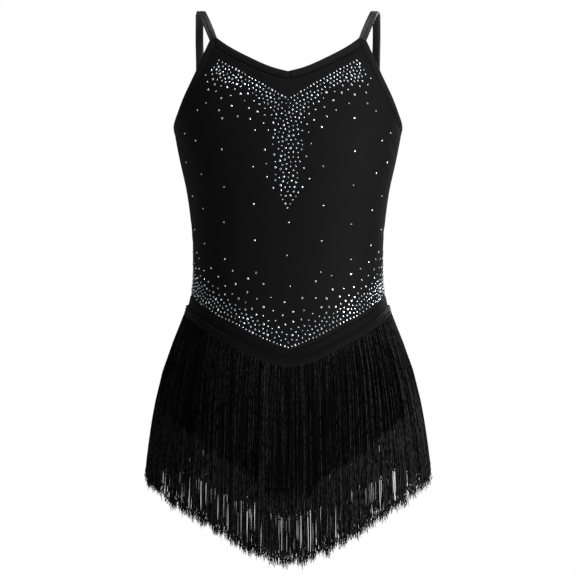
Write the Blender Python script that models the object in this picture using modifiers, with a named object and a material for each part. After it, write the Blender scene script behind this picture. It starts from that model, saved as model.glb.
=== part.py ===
"""A girl's latin dance leotard, hollow as it is worn, with a V of long chainette fringe at the hip.

X points to the viewer's right, the front faces -Y and Z is up. The origin is midway between the
tops of the two shoulder straps, where the shoulders carry the garment.
"""

import math
from collections import namedtuple

import bmesh
import bpy
from mathutils import Vector

MM = 0.001

# Cloth and trim
WALL = 1.4 * MM
SEAM_GAP = 0.3 * MM
BINDING_WIDTH = 7.8 * MM
BINDING_THICKNESS = 2.4 * MM
BINDING_PROUD = 0.5 * MM
BINDING_ROUNDING = 0.6 * MM
STRAP_THICKNESS = 2.2 * MM
STRAP_SEAM_GAP = 0.7 * MM
TAPE_HEIGHT = 8.5 * MM
TAPE_THICKNESS = 1.3 * MM
TAPE_CLEARANCE = 0.5 * MM
STRAND_FILL = 0.74
STRAND_THICKNESS = 1.3 * MM
STRAND_RAGGEDNESS = 3.5 * MM

# A binding's last stretch before a corner, as a share of its step there
FRONT_CORNER_SHARE = 0.2
BACK_CORNER_SHARE = 0.25

# Angles, in radians, that step from strand to strand so that no two tips in a row are level
TIP_STEP = 2.4
TIP_DRIFT = 1.1

# Leg opening: top at the side seam, crotch seam and the roundness of the seat between them
LEG_TOP_DROP = 412 * MM
CROTCH_DROP = 500.5 * MM
SEAT_ROUNDNESS = 2.4

# Fineness of the meshes
NECK_STEPS = 6
ARMHOLE_FRONT_STEPS = 6
ARMHOLE_BACK_STEPS = 4
BODICE_ROWS = 13
YOKE_ROWS = 4
LEG_ROWS = 8
STRAP_STEPS = 12
STRANDS_A_QUARTER = 50
STRAND_SEGMENTS = 3

# Rings round the body are superellipses of this power
RING_POWER = 2.25
NORMAL_STEP_TURN = 0.2
NORMAL_STEP_DROP = 0.2 * MM

Ring = namedtuple("Ring", "drop half_width front_depth back_depth")
HipLine = namedtuple("HipLine", "turn waist_seam tape_top fringe_tip")
EdgePoint = namedtuple("EdgePoint", "turn drop")
LegPoint = namedtuple("LegPoint", "drop half_width")
StrapPoint = namedtuple("StrapPoint", "station across depth drop")


def in_metres(kind, rows, kept=0):
    """Rows written in millimetres as named rows in metres; the first kept columns stay as they are."""
    return [kind(*row[:kept], *(value * MM for value in row[kept:])) for row in rows]


# Outer face of the jersey: drop below the shoulder, half width, depth to the front and to the back
FIGURE = in_metres(Ring, (
    (10, 124, 50, 58),
    (45, 124, 61, 68),
    (85, 122.5, 73, 75),
    (123, 119.7, 82, 78),
    (155, 114, 85, 76.5),
    (190, 106.3, 82, 72.5),
    (225, 101.7, 77, 69),
    (262, 99.8, 74, 68),
    (295, 101.2, 76, 73),
    (330, 111, 80.5, 83),
    (365, 122, 84.5, 92.5),
    (395, 130, 86.8, 98),
    (412, 132.5, 87.5, 100),
))

# Outer face of the hanging fringe
FRINGE_BELL = in_metres(Ring, (
    (300, 104.5, 80, 76.5),
    (330, 115.5, 85.5, 87.5),
    (365, 128, 91, 98.5),
    (400, 137.5, 95.5, 105.5),
    (440, 145, 100, 110),
    (490, 151.3, 104, 114),
    (580, 157, 108, 117),
))

# Lines round the hip: turn from the front centre, then drops of the seam, the tape and the tips
HIP_LINES = in_metres(HipLine, (
    (0, 355.5, 363.5, 571),
    (10, 347, 358, 560),
    (20, 338, 348, 546),
    (30, 329, 339, 533),
    (50, 316, 324.5, 511),
    (70, 303, 313.5, 495),
    (90, 298, 309, 486),
    (110, 299.5, 310.5, 485.5),
    (130, 305, 315.5, 489),
    (150, 315, 325, 507),
    (165, 323.5, 332.5, 525),
    (180, 330, 338, 543),
), kept=1)

# Finished edges of the garment, outside the bindings
FRONT_NECKLINE = in_metres(EdgePoint, (
    (0, 68.7),
    (6.7, 63.6),
    (15.8, 54.1),
    (26.6, 42.1),
    (33.5, 33.1),
), kept=1)
ARMHOLE = in_metres(EdgePoint, (
    (38.2, 35.6),
    (47.6, 65),
    (57.9, 88),
    (72.4, 111.5),
    (90, 123),
    (108.8, 118.5),
    (123.1, 107.5),
    (127.6, 100),
), kept=1)
BACK_NECKLINE = in_metres(EdgePoint, (
    (133.5, 100.5),
    (149.9, 120),
    (165, 133.5),
    (180, 139),
), kept=1)

# Half width of the cloth between the leg openings
FRONT_LEG_LINE = in_metres(LegPoint, (
    (412, 132.5),
    (422, 121),
    (443, 90.5),
    (468, 56.5),
    (483, 32),
    (491, 22.5),
    (500.5, 21),
))
BACK_LEG_LINE = in_metres(LegPoint, (
    (412, 132.5),
    (430, 124),
    (455, 104),
    (475, 77),
    (490, 47),
    (497, 27),
    (500.5, 21),
))

# Outer face of a strap between its two corners, over the shoulder
STRAP_COURSE = in_metres(StrapPoint, (
    (1, 82.2, -38.5, 20.8),
    (2, 88.2, -20, 6.3),
    (3, 91.8, 2, 0),
    (4, 93.5, 21, 7),
    (5, 94.3, 36, 26.5),
    (6, 94.2, 44, 58),
), kept=1)


# Reading the tables

def slope_at(rows, index, column):
    """Slope of a table's column at one of its rows."""
    before = rows[max(index - 1, 0)]
    after = rows[min(index + 1, len(rows) - 1)]
    return (after[column] - before[column]) / (after[0] - before[0])


def read(rows, key):
    """The columns of a table at a key between its rows, each on a smooth curve through them."""
    key = min(max(key, rows[0][0]), rows[-1][0])
    index = max(i for i in range(len(rows) - 1) if rows[i][0] <= key)
    low = rows[index]
    high = rows[index + 1]
    span = high[0] - low[0]
    t = (key - low[0]) / span
    values = []
    for column in range(1, len(low)):
        rise = slope_at(rows, index, column) * span
        fall = slope_at(rows, index + 1, column) * span
        start = (2 * t ** 3 - 3 * t ** 2 + 1) * low[column] + (t ** 3 - 2 * t ** 2 + t) * rise
        end = (3 * t ** 2 - 2 * t ** 3) * high[column] + (t ** 3 - t ** 2) * fall
        values.append(start + end)
    return values


def hip_line(turn):
    """The seam, tape and tip drops at a turn."""
    return HipLine(turn, *read(HIP_LINES, abs(turn)))


# Points on the rings

def signed_power(value, power):
    """A power that keeps the sign of its base."""
    return math.copysign(abs(value) ** power, value)


def on_ring(sizes, turn, drop):
    """The point of one ring at a turn: 0 at the front centre, 90 at the side, 180 at the back."""
    half_width, front_depth, back_depth = sizes
    angle = math.radians(turn)
    depth = front_depth if math.cos(angle) >= 0 else back_depth
    across = half_width * signed_power(math.sin(angle), 2 / RING_POWER)
    return Vector((across, -depth * signed_power(math.cos(angle), 2 / RING_POWER), -drop))


def lower_trunk(drop):
    """Ring sizes below the top of the leg openings, where the brief rounds under to the crotch."""
    share = min((drop - LEG_TOP_DROP) / (CROTCH_DROP - LEG_TOP_DROP), 1)
    rounding = (1 - share ** SEAT_ROUNDNESS) ** (1 / SEAT_ROUNDNESS)
    widest = FIGURE[-1]
    return widest.half_width, widest.front_depth * rounding, widest.back_depth * rounding


def figure_point(turn, drop):
    """A point of the jersey's outer face."""
    if drop > LEG_TOP_DROP:
        return on_ring(lower_trunk(drop), turn, drop)
    return on_ring(read(FIGURE, drop), turn, drop)


def bell_point(turn, drop):
    """A point of the hanging fringe's outer face."""
    return on_ring(read(FRINGE_BELL, drop), turn, drop)


def outward(surface, turn, drop):
    """Unit normal of a surface, away from the body."""
    round_it = surface(turn + NORMAL_STEP_TURN, drop) - surface(turn - NORMAL_STEP_TURN, drop)
    down_it = surface(turn, drop + NORMAL_STEP_DROP) - surface(turn, drop - NORMAL_STEP_DROP)
    return down_it.cross(round_it).normalized()


def moved_out(surface, turn, drop, distance):
    """A point of a surface, moved out along its normal."""
    return surface(turn, drop) + outward(surface, turn, drop) * distance


def find_on_figure(point):
    """The turn and drop of the point of the figure nearest to a point beside it."""
    half_width, front_depth, back_depth = read(FIGURE, -point.z)
    depth = front_depth if point.y < 0 else back_depth
    sine = (abs(point.x) / half_width) ** (RING_POWER / 2)
    cosine = (abs(point.y) / depth) ** (RING_POWER / 2)
    turn = math.degrees(math.atan2(sine, cosine))
    return EdgePoint(turn if point.y < 0 else 180 - turn, -point.z)


# Garment edges and the seams of their bindings

def stations_along(rows, steps):
    """Edge points at even lengths along an edge."""
    fine = 40 * steps
    first = rows[0].turn
    last = rows[-1].turn
    turns = [first + (last - first) * i / fine for i in range(fine + 1)]
    edge = [EdgePoint(turn, read(rows, turn)[0]) for turn in turns]
    return even_share(edge, [i / steps for i in range(steps + 1)])


def even_share(edge, shares):
    """The points of a finely divided edge at shares of its length."""
    lengths = [0.0]
    for a, b in zip(edge, edge[1:]):
        lengths.append(lengths[-1] + (figure_point(*b) - figure_point(*a)).length)
    found = []
    for share in shares:
        wanted = share * lengths[-1]
        i = max(k for k in range(len(edge) - 1) if lengths[k] <= wanted + 1e-9)
        t = (wanted - lengths[i]) / (lengths[i + 1] - lengths[i])
        a, b = edge[i], edge[i + 1]
        found.append(EdgePoint(a.turn + (b.turn - a.turn) * t, a.drop + (b.drop - a.drop) * t))
    return found


def split_armhole():
    """Armhole stations from the front corner to the side, and from the side to the back corner."""
    side = next(i for i, row in enumerate(ARMHOLE) if row.turn == 90)
    front = stations_along(ARMHOLE[:side + 1], ARMHOLE_FRONT_STEPS)
    back = stations_along(ARMHOLE[side:], ARMHOLE_BACK_STEPS)
    return front, back


def set_in(edge, width):
    """An edge moved into the cloth by a width, along the surface."""
    seam = []
    for i, point in enumerate(edge):
        here = figure_point(*point)
        before = figure_point(*edge[max(i - 1, 0)])
        after = figure_point(*edge[min(i + 1, len(edge) - 1)])
        along = (after - before).normalized()
        inwards = outward(figure_point, *point).cross(along).normalized()
        if inwards.z > 0:
            inwards.negate()
        if point.turn in (0, 180):
            inwards.x = 0
        seam.append(find_on_figure(here + inwards * width))
    return seam


def corner_set_in(neck_end, arm_end, width):
    """The inner corner of the bindings, square below a strap's base."""
    a = figure_point(*neck_end)
    b = figure_point(*arm_end)
    middle = (a + b) / 2
    along = (b - a).normalized()
    inwards = outward(figure_point, *find_on_figure(middle)).cross(along).normalized()
    if inwards.z > 0:
        inwards.negate()
    return find_on_figure(middle + inwards * width)


class Edges:
    """The finished edges of the right half, and their seams set in by a width."""

    def __init__(self):
        self.neck_front = stations_along(FRONT_NECKLINE, NECK_STEPS)
        self.neck_back = stations_along(BACK_NECKLINE, NECK_STEPS)
        self.arm_front, self.arm_back = split_armhole()

    def seams(self, width):
        """Front neck, armhole front, armhole back and back neck, set in by a width."""
        front_corner = corner_set_in(self.neck_front[-1], self.arm_front[0], width)
        back_corner = corner_set_in(self.neck_back[0], self.arm_back[-1], width)
        neck_front = set_in(self.neck_front, width)[:-1] + [front_corner]
        neck_back = [back_corner] + set_in(self.neck_back, width)[1:]
        armhole = set_in(self.arm_front + self.arm_back[1:], width)
        arm_front = [front_corner] + armhole[1:len(self.arm_front)]
        arm_back = armhole[len(self.arm_front) - 1:-1] + [back_corner]
        arm_front[-1] = EdgePoint(90, arm_front[-1].drop)
        arm_back[0] = arm_front[-1]
        return neck_front, arm_front, arm_back, neck_back


# Objects

def cloth_material(name, colour, roughness):
    """A plain fabric material."""
    material = bpy.data.materials.new(name)
    material.use_nodes = True
    shader = material.node_tree.nodes["Principled BSDF"]
    shader.inputs["Base Color"].default_value = (*colour, 1)
    shader.inputs["Roughness"].default_value = roughness
    shader.inputs["Metallic"].default_value = 0
    material.diffuse_color = (*colour, 1)
    return material


def new_object(name, mesh_parts, collection, material):
    """An object from a filled bmesh, linked to the collection."""
    mesh = bpy.data.meshes.new(name)
    mesh_parts.to_mesh(mesh)
    mesh_parts.free()
    mesh.materials.append(material)
    piece = bpy.data.objects.new(name, mesh)
    collection.objects.link(piece)
    return piece


def loft(rows):
    """An open surface through rows of points, with its faces towards whoever sees the rows go down
    and the columns go to the right."""
    surface = bmesh.new()
    add_grid(surface, rows, False)
    return surface


def add_grid(mesh, rows, turned):
    """Faces between rows of points added to a mesh, and the points' vertices."""
    verts = [[mesh.verts.new(point) for point in row] for row in rows]
    for upper, lower in zip(verts, verts[1:]):
        for i in range(len(upper) - 1):
            add_face(mesh, (upper[i], lower[i], lower[i + 1], upper[i + 1]), turned)
    return verts


def add_face(mesh, corners, turned):
    """A face, with its corners in the other order where it is turned."""
    mesh.faces.new(tuple(reversed(corners)) if turned else corners)


def wall_between(outer_rows, inner_rows, centre_column):
    """A wall between an outer and an inner face, open only along its centre column."""
    wall = bmesh.new()
    outer = add_grid(wall, outer_rows, False)
    inner = add_grid(wall, inner_rows, True)
    for row, turned in ((0, False), (-1, True)):
        for i in range(len(outer[0]) - 1):
            add_face(wall, (outer[row][i], outer[row][i + 1], inner[row][i + 1], inner[row][i]), turned)
    edge = -1 if centre_column == 0 else 0
    for upper in range(len(outer) - 1):
        lower = upper + 1
        corners = (outer[upper][edge], outer[lower][edge], inner[lower][edge], inner[upper][edge])
        add_face(wall, corners, edge == 0)
    return wall


def mirrored(piece):
    """The other half of a piece that is open at the garment's centre."""
    mirror = piece.modifiers.new("other half", "MIRROR")
    mirror.use_axis = (True, False, False)
    mirror.merge_threshold = 0.01 * MM


def walled(piece, thickness):
    """A wall inwards of a surface."""
    wall = piece.modifiers.new("wall", "SOLIDIFY")
    wall.thickness = thickness
    wall.offset = -1


def rounded(piece, width):
    """Soft long edges on a binding."""
    bevel = piece.modifiers.new("soft edges", "BEVEL")
    bevel.width = width
    bevel.segments = 1
    bevel.limit_method = "ANGLE"
    bevel.angle_limit = math.radians(60)


def panel(name, rows, seam_side, collection, material):
    """One half of a jersey panel from rows of places on the figure, mirrored."""
    outer = [[panel_point(*place, seam_side, 0) for place in row] for row in rows]
    inner = [[panel_point(*place, seam_side, WALL) for place in row] for row in rows]
    centre_column = 0 if seam_side == "front" else -1
    piece = new_object(name, wall_between(outer, inner, centre_column), collection, material)
    mirrored(piece)
    return piece


def panel_point(turn, drop, seam_side, inwards):
    """A point in a panel's wall, half a seam away from the side and crotch seams."""
    point = moved_out(figure_point, turn, drop, -inwards)
    half_gap = -SEAM_GAP / 2 if seam_side == "front" else SEAM_GAP / 2
    if turn == 90:
        point.y += half_gap
    if drop >= CROTCH_DROP:
        point.y = half_gap
    if turn in (0, 180):
        point.x = 0
    return point


# Pieces

def bodice_panel(name, top_line, seam_side, collection, material):
    """A bodice panel from its bound edges down to the waist seam."""
    rows = []
    for row in range(BODICE_ROWS + 1):
        places = []
        for top in top_line:
            bottom = hip_line(top.turn).waist_seam - SEAM_GAP / 2
            places.append((top.turn, top.drop + (bottom - top.drop) * row / BODICE_ROWS))
        rows.append(places)
    return panel(name, rows, seam_side, collection, material)


def brief_panel(name, turns, leg_line, seam_side, collection, material):
    """A brief panel from the waist seam to the crotch seam, cut out at the legs."""
    rows = []
    for row in range(YOKE_ROWS + 1):
        places = []
        for turn in turns:
            top = hip_line(turn).waist_seam + SEAM_GAP / 2
            places.append((turn, top + (LEG_TOP_DROP - top) * row / YOKE_ROWS))
        rows.append(places)
    centre = 0 if seam_side == "front" else 180
    for row in range(1, LEG_ROWS + 1):
        share = math.sin(math.pi / 2 * row / LEG_ROWS) ** (2 / SEAT_ROUNDNESS)
        drop = LEG_TOP_DROP + (CROTCH_DROP - LEG_TOP_DROP) * share
        width = min(read(leg_line, drop)[0] / FIGURE[-1].half_width, 1)
        reach = math.degrees(math.asin(width ** (RING_POWER / 2)))
        rows.append([(centre + (turn - centre) / 90 * reach, drop) for turn in turns])
    return panel(name, rows, seam_side, collection, material)


def ribbon(name, upper, lower, thickness, collection, material):
    """A bound edge or strap between two rows of outer points."""
    piece = new_object(name, loft((upper, lower)), collection, material)
    walled(piece, thickness)
    rounded(piece, BINDING_ROUNDING)
    return piece


def binding_points(edge):
    """Outer points of a binding along an edge."""
    return [moved_out(figure_point, point.turn, point.drop, BINDING_PROUD) for point in edge]


def shortened(points, gap, at_end):
    """A row of points whose last or first point is pulled back by a gap."""
    cut = [point.copy() for point in points]
    end, before = (-1, -2) if at_end else (0, 1)
    cut[end] += (cut[before] - cut[end]).normalized() * gap
    return cut


def neck_binding(name, finished, seam, corner_last, collection, material):
    """The binding of a neckline between the two strap corners."""
    upper = shortened(binding_points(finished), SEAM_GAP, corner_last)
    lower = shortened(binding_points(seam), SEAM_GAP, corner_last)
    centre = 0 if corner_last else -1
    upper[centre].x = 0
    lower[centre].x = 0
    piece = new_object(name, loft((upper, lower)), collection, material)
    mirrored(piece)
    walled(piece, BINDING_THICKNESS)
    rounded(piece, BINDING_ROUNDING)
    return piece


def armhole_rows(edges, seams):
    """Finished and seam rows of an armhole binding, with its two ends under the strap's base."""
    _, arm_front, arm_back, _ = seams
    finished = edges.arm_front + edges.arm_back[1:]
    inner = arm_front + arm_back[1:]
    near_front = part_way(finished[0], finished[1], FRONT_CORNER_SHARE)
    near_back = part_way(finished[-1], finished[-2], BACK_CORNER_SHARE)
    finished = [finished[0], near_front] + finished[1:-1] + [near_back, finished[-1]]
    inner = [edges.neck_front[-1]] + inner + [edges.neck_back[0]]
    return binding_points(finished), binding_points(inner)


def part_way(a, b, share):
    """An edge point part of the way from one to another."""
    return EdgePoint(a.turn + (b.turn - a.turn) * share, a.drop + (b.drop - a.drop) * share)


def strap_rows(edges):
    """Neck-side and arm-side rows of the right strap, from the front corner to the back corner."""
    front_neck, front_arm = binding_points((edges.neck_front[-1], edges.arm_front[0]))
    back_neck, back_arm = binding_points((edges.neck_back[0], edges.arm_back[-1]))
    front_middle = (front_neck + front_arm) / 2
    back_middle = (back_neck + back_arm) / 2
    course = [StrapPoint(0, *front_middle[:2], -front_middle.z)]
    course += STRAP_COURSE
    course += [StrapPoint(len(course), *back_middle[:2], -back_middle.z)]
    last = course[-1].station
    outer = []
    inner = []
    for step in range(STRAP_STEPS + 1):
        station = last * step / STRAP_STEPS
        across, depth, drop = read(course, station)
        middle = Vector((across, depth, -drop))
        over = math.sin(math.pi * step / STRAP_STEPS) ** 0.5
        base = front_arm - front_neck if station < last / 2 else back_arm - back_neck
        side = base.normalized().lerp(Vector((1, 0, 0)), over).normalized()
        outer.append(middle + side * base.length / 2)
        inner.append(middle - side * base.length / 2)
    return [shortened(shortened(row, STRAP_SEAM_GAP, True), STRAP_SEAM_GAP, False) for row in (inner, outer)]


def other_side(points):
    """The same points on the left of the garment."""
    return [Vector((-point.x, point.y, point.z)) for point in points]


def pair(name, upper, lower, thickness, collection, material):
    """A right-hand ribbon and its left-hand twin."""
    ribbon(f"{name}_right", upper, lower, thickness, collection, material)
    ribbon(f"{name}_left", other_side(lower), other_side(upper), thickness, collection, material)


# Fringe

def tape_point(turn, drop, inner):
    """A point of the fringe's woven tape, outside the brief."""
    distance = TAPE_CLEARANCE + (0 if inner else TAPE_THICKNESS)
    return moved_out(figure_point, turn, drop, distance)


def strand_point(turn, share, tip_drop, inner):
    """A point of a strand that leaves the tape and swings out to the fringe's bell."""
    start = hip_line(turn).tape_top + TAPE_HEIGHT
    drop = start + (tip_drop - start) * share
    if share == 0:
        return tape_point(turn, drop, inner)
    return moved_out(bell_point, turn, drop, -STRAND_THICKNESS if inner else 0)


def fringe_turns(first, last, count):
    """Turns of the left and right edge of each strand, evenly spread along the tape."""
    fine = 8 * count
    turns = [first + (last - first) * i / fine for i in range(fine + 1)]
    edge = [EdgePoint(turn, hip_line(turn).tape_top) for turn in turns]
    margin = (1 - STRAND_FILL) / 2
    shares = []
    for strand in range(count):
        shares += [(strand + margin) / count, (strand + 1 - margin) / count]
    return [point.turn for point in even_share(edge, shares)]


def raggedness(strand):
    """How far a strand's tip is from the even hem, a little different for each strand."""
    return STRAND_RAGGEDNESS * math.sin(strand * TIP_STEP) * math.cos(strand * TIP_DRIFT)


def fringe(name, first, last, seam_side, collection, material):
    """A quarter of the fringe with its tape, mirrored: each strand grows from the tape's lower face."""
    edges = fringe_turns(first, last, STRANDS_A_QUARTER)
    turns = [first] + edges + [last]
    mesh = bmesh.new()
    columns = []
    for turn in turns:
        top = hip_line(turn).tape_top
        corners = []
        for drop, inner in ((top, False), (top + TAPE_HEIGHT, False), (top + TAPE_HEIGHT, True), (top, True)):
            point = tape_point(turn, drop, inner)
            if turn == 90:
                point.y += -SEAM_GAP / 2 if seam_side == "front" else SEAM_GAP / 2
            if turn in (0, 180):
                point.x = 0
            corners.append(mesh.verts.new(point))
        columns.append(corners)
    for left, right in zip(columns, columns[1:]):
        for i in (0, 2, 3):
            j = (i + 1) % 4
            mesh.faces.new((left[i], left[j], right[j], right[i]))
    for i, (left, right) in enumerate(zip(columns, columns[1:])):
        lower = (left[1], left[2], right[2], right[1])
        if i % 2 == 0:
            mesh.faces.new(lower)
        else:
            grow_strand(mesh, lower, turns[i], turns[i + 1], i // 2)
    side = columns[-1] if turns[-1] == 90 else columns[0]
    mesh.faces.new(side)
    bmesh.ops.recalc_face_normals(mesh, faces=mesh.faces)
    piece = new_object(name, mesh, collection, material)
    mirrored(piece)
    return piece


def grow_strand(mesh, root, left_turn, right_turn, strand):
    """A four-sided strand from a face of the tape down to its tip."""
    middle = (left_turn + right_turn) / 2
    tip_drop = hip_line(middle).fringe_tip + raggedness(strand)
    ring = root
    for segment in range(1, STRAND_SEGMENTS + 1):
        share = segment / STRAND_SEGMENTS
        lower = []
        for turn, inner in ((left_turn, False), (left_turn, True), (right_turn, True), (right_turn, False)):
            lower.append(mesh.verts.new(strand_point(turn, share, tip_drop, inner)))
        for i in range(4):
            j = (i + 1) % 4
            mesh.faces.new((ring[i], lower[i], lower[j], ring[j]))
        ring = lower
    mesh.faces.new(ring)


def main():
    for old in list(bpy.data.objects):
        bpy.data.objects.remove(old, do_unlink=True)
    collection = bpy.data.collections.new("latin dance leotard")
    bpy.context.scene.collection.children.link(collection)

    jersey = cloth_material("black nylon elastane jersey", (0.008, 0.008, 0.009), 0.82)
    elastic = cloth_material("black jersey binding", (0.01, 0.01, 0.011), 0.78)
    chainette = cloth_material("black rayon chainette", (0.006, 0.006, 0.007), 0.6)

    edges = Edges()
    seams = edges.seams(BINDING_WIDTH)
    neck_front, arm_front, arm_back, neck_back = edges.seams(BINDING_WIDTH + SEAM_GAP)
    front_top = neck_front + arm_front[1:]
    back_top = arm_back + neck_back[1:]

    bodice_panel("front_bodice", front_top, "front", collection, jersey)
    bodice_panel("back_bodice", back_top, "back", collection, jersey)
    brief_panel("front_brief", [top.turn for top in front_top], FRONT_LEG_LINE, "front", collection, jersey)
    brief_panel("back_brief", [top.turn for top in back_top], BACK_LEG_LINE, "back", collection, jersey)

    neck_binding("neck_binding_front", edges.neck_front, seams[0], True, collection, elastic)
    neck_binding("neck_binding_back", edges.neck_back, seams[3], False, collection, elastic)
    pair("armhole_binding", *armhole_rows(edges, seams), BINDING_THICKNESS, collection, elastic)
    pair("strap", *strap_rows(edges), STRAP_THICKNESS, collection, elastic)

    fringe("fringe_front", 0, 90, "front", collection, chainette)
    fringe("fringe_back", 90, 180, "back", collection, chainette)


main()
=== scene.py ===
"""Looks of a girl's latin dance leotard: jersey, bindings, chainette fringe, stones and stitching."""

import logging
import math
from dataclasses import dataclass, field
from enum import Enum
from typing import Any, Callable, Iterable, Sequence

import bmesh
import bpy
import numpy as np
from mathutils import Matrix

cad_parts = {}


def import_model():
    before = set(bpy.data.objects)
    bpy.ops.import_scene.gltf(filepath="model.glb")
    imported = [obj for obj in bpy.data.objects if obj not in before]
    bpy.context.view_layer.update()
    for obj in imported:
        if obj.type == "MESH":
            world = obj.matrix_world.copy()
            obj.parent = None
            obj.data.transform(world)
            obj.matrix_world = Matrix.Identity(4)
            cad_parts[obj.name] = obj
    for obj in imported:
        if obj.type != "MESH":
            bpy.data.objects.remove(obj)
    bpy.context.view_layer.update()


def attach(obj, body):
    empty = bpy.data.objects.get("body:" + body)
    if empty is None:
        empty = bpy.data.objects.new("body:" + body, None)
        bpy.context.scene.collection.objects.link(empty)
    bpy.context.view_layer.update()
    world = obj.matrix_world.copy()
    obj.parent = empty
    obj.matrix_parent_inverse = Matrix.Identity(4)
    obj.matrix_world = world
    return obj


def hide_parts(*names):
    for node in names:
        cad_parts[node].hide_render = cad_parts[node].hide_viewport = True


Array = np.ndarray
Surface = Callable[[Array, Array], Array]

MM = 0.001
BODY = "root"
LOG = logging.getLogger("leotard")


class Side(Enum):
    """The two panels of the garment, by the centre line that each is laid out from."""

    FRONT = 0
    BACK = 180


class Seam(Enum):
    """How a row of stitches runs."""

    STRAIGHT = "straight"
    ZIGZAG = "zigzag"


# Colours and node trees

def linear(hex_colour: str) -> tuple[float, float, float, float]:
    """Turn an sRGB hex colour to the linear values that shaders take.

    Args:
        hex_colour: six hex digits, such as "0b0b0c".

    Returns:
        Red, green, blue and an alpha of one.
    """
    values = [int(hex_colour[i:i + 2], 16) / 255 for i in (0, 2, 4)]
    turned = [v / 12.92 if v <= 0.04045 else ((v + 0.055) / 1.055) ** 2.4 for v in values]
    return (turned[0], turned[1], turned[2], 1.0)


def add_node(tree: bpy.types.NodeTree, kind: str, values: dict[Any, Any] | None = None,
             links: dict[Any, Any] | None = None, **settings: Any) -> bpy.types.Node:
    """Add a node with its settings, socket values and links.

    Args:
        tree: the tree that it goes in.
        kind: the node's type name.
        values: input sockets, by name or number, and the constants set on them.
        links: input sockets, by name or number, and the output sockets that feed them.
        settings: attributes of the node itself.

    Returns:
        The new node.
    """
    node = tree.nodes.new(kind)
    for name, value in settings.items():
        setattr(node, name, value)
    for socket, value in (values or {}).items():
        node.inputs[socket].default_value = value
    for socket, source in (links or {}).items():
        tree.links.new(source, node.inputs[socket])
    return node


def new_material(name: str) -> tuple[bpy.types.Material, bpy.types.NodeTree, bpy.types.Node]:
    """Make a material with an empty tree but for its shader.

    Args:
        name: the material's name.

    Returns:
        The material, its tree and its Principled node.
    """
    material = bpy.data.materials.new(name)
    material.use_nodes = True
    tree = material.node_tree
    return material, tree, tree.nodes["Principled BSDF"]


def darken_with_painted_seam_shade(tree: bpy.types.NodeTree, colour: bpy.types.NodeSocket) -> bpy.types.NodeSocket:
    """Darken a colour with painted shade where the piece's seam attribute says that the cloth sinks into a
    seam.

    Args:
        tree: the material's tree.
        colour: the cloth's colour.

    Returns:
        The darkened colour.
    """
    seam = add_node(tree, "ShaderNodeAttribute", attribute_name="seam")
    darkened = add_node(tree, "ShaderNodeMix", {7: linear("000000")}, {0: seam.outputs["Fac"], 6: colour},
                        data_type="RGBA")
    return darkened.outputs[2]


def set_shader(shader: bpy.types.Node, **values: Any) -> None:
    """Set constants on a shader's sockets; an underscore in a name stands for a space.

    Args:
        shader: the Principled node.
        values: socket names and values.
    """
    for name, value in values.items():
        shader.inputs[name.replace("_", " ")].default_value = value


def cloth_place(tree: bpy.types.NodeTree) -> bpy.types.NodeSocket:
    """Places on the piece's own cloth map, in metres."""
    return add_node(tree, "ShaderNodeUVMap", uv_map="cloth").outputs["UV"]


def object_place(tree: bpy.types.NodeTree) -> bpy.types.NodeSocket:
    """Places in the object's own space, in metres."""
    return add_node(tree, "ShaderNodeTexCoord").outputs["Object"]


def noise(tree: bpy.types.NodeTree, place: bpy.types.NodeSocket, scale: float,
          **values: float) -> bpy.types.NodeSocket:
    """An uneven pattern; values are more of its sockets."""
    return add_node(tree, "ShaderNodeTexNoise", {"Scale": scale, **values}, {"Vector": place}).outputs[0]


def ribs(tree: bpy.types.NodeTree, place: bpy.types.NodeSocket, pitch_mm: float, axis: str = "X",
         **values: float) -> bpy.types.NodeSocket:
    """Add ribs that follow one another along an axis.

    Args:
        tree: the material's tree.
        place: where the pattern is read.
        pitch_mm: distance from rib to rib.
        axis: the axis that crosses them.
        values: more of the wave's sockets.

    Returns:
        The ribs' height, 0 to 1.
    """
    return add_node(tree, "ShaderNodeTexWave", {"Scale": math.tau / (20 * pitch_mm * MM), **values},
                    {"Vector": place}, bands_direction=axis).outputs["Fac"]


def raised(tree: bpy.types.NodeTree, pattern: bpy.types.NodeSocket, share: float,
           other: bpy.types.NodeSocket) -> bpy.types.NodeSocket:
    """A share of one pattern on top of another."""
    return add_node(tree, "ShaderNodeMath", {1: share}, {0: pattern, 2: other},
                    operation="MULTIPLY_ADD").outputs[0]


def tint(tree: bpy.types.NodeTree, shader: bpy.types.Node, shades: tuple[str, str],
         share: bpy.types.NodeSocket, paints_seam_shade: bool = False) -> None:
    """Give a shader a colour between two shades.

    Args:
        tree: the material's tree.
        shader: the Principled node.
        shades: hex colours at a share of none and of one.
        share: how much of the second shade shows.
        paints_seam_shade: whether painted seam shade darkens the colour.
    """
    colour = add_node(tree, "ShaderNodeMix", {6: linear(shades[0]), 7: linear(shades[1])}, {0: share},
                      data_type="RGBA").outputs[2]
    tree.links.new(darken_with_painted_seam_shade(tree, colour) if paints_seam_shade else colour, shader.inputs["Base Color"])


def relief(tree: bpy.types.NodeTree, shader: bpy.types.Node, height: bpy.types.NodeSocket,
           strength: float, depth_mm: float) -> None:
    """Raise a pattern on a shader's surface."""
    bump = add_node(tree, "ShaderNodeBump", {"Strength": strength, "Distance": depth_mm * MM},
                    {"Height": height})
    tree.links.new(bump.outputs[0], shader.inputs["Normal"])


# The faint bloom of brushed jersey
SOFT_SHEEN = {"Sheen_Weight": 0.008, "Sheen_Roughness": 0.5, "Sheen_Tint": linear("9c9c9c")}


# Finishes

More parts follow.
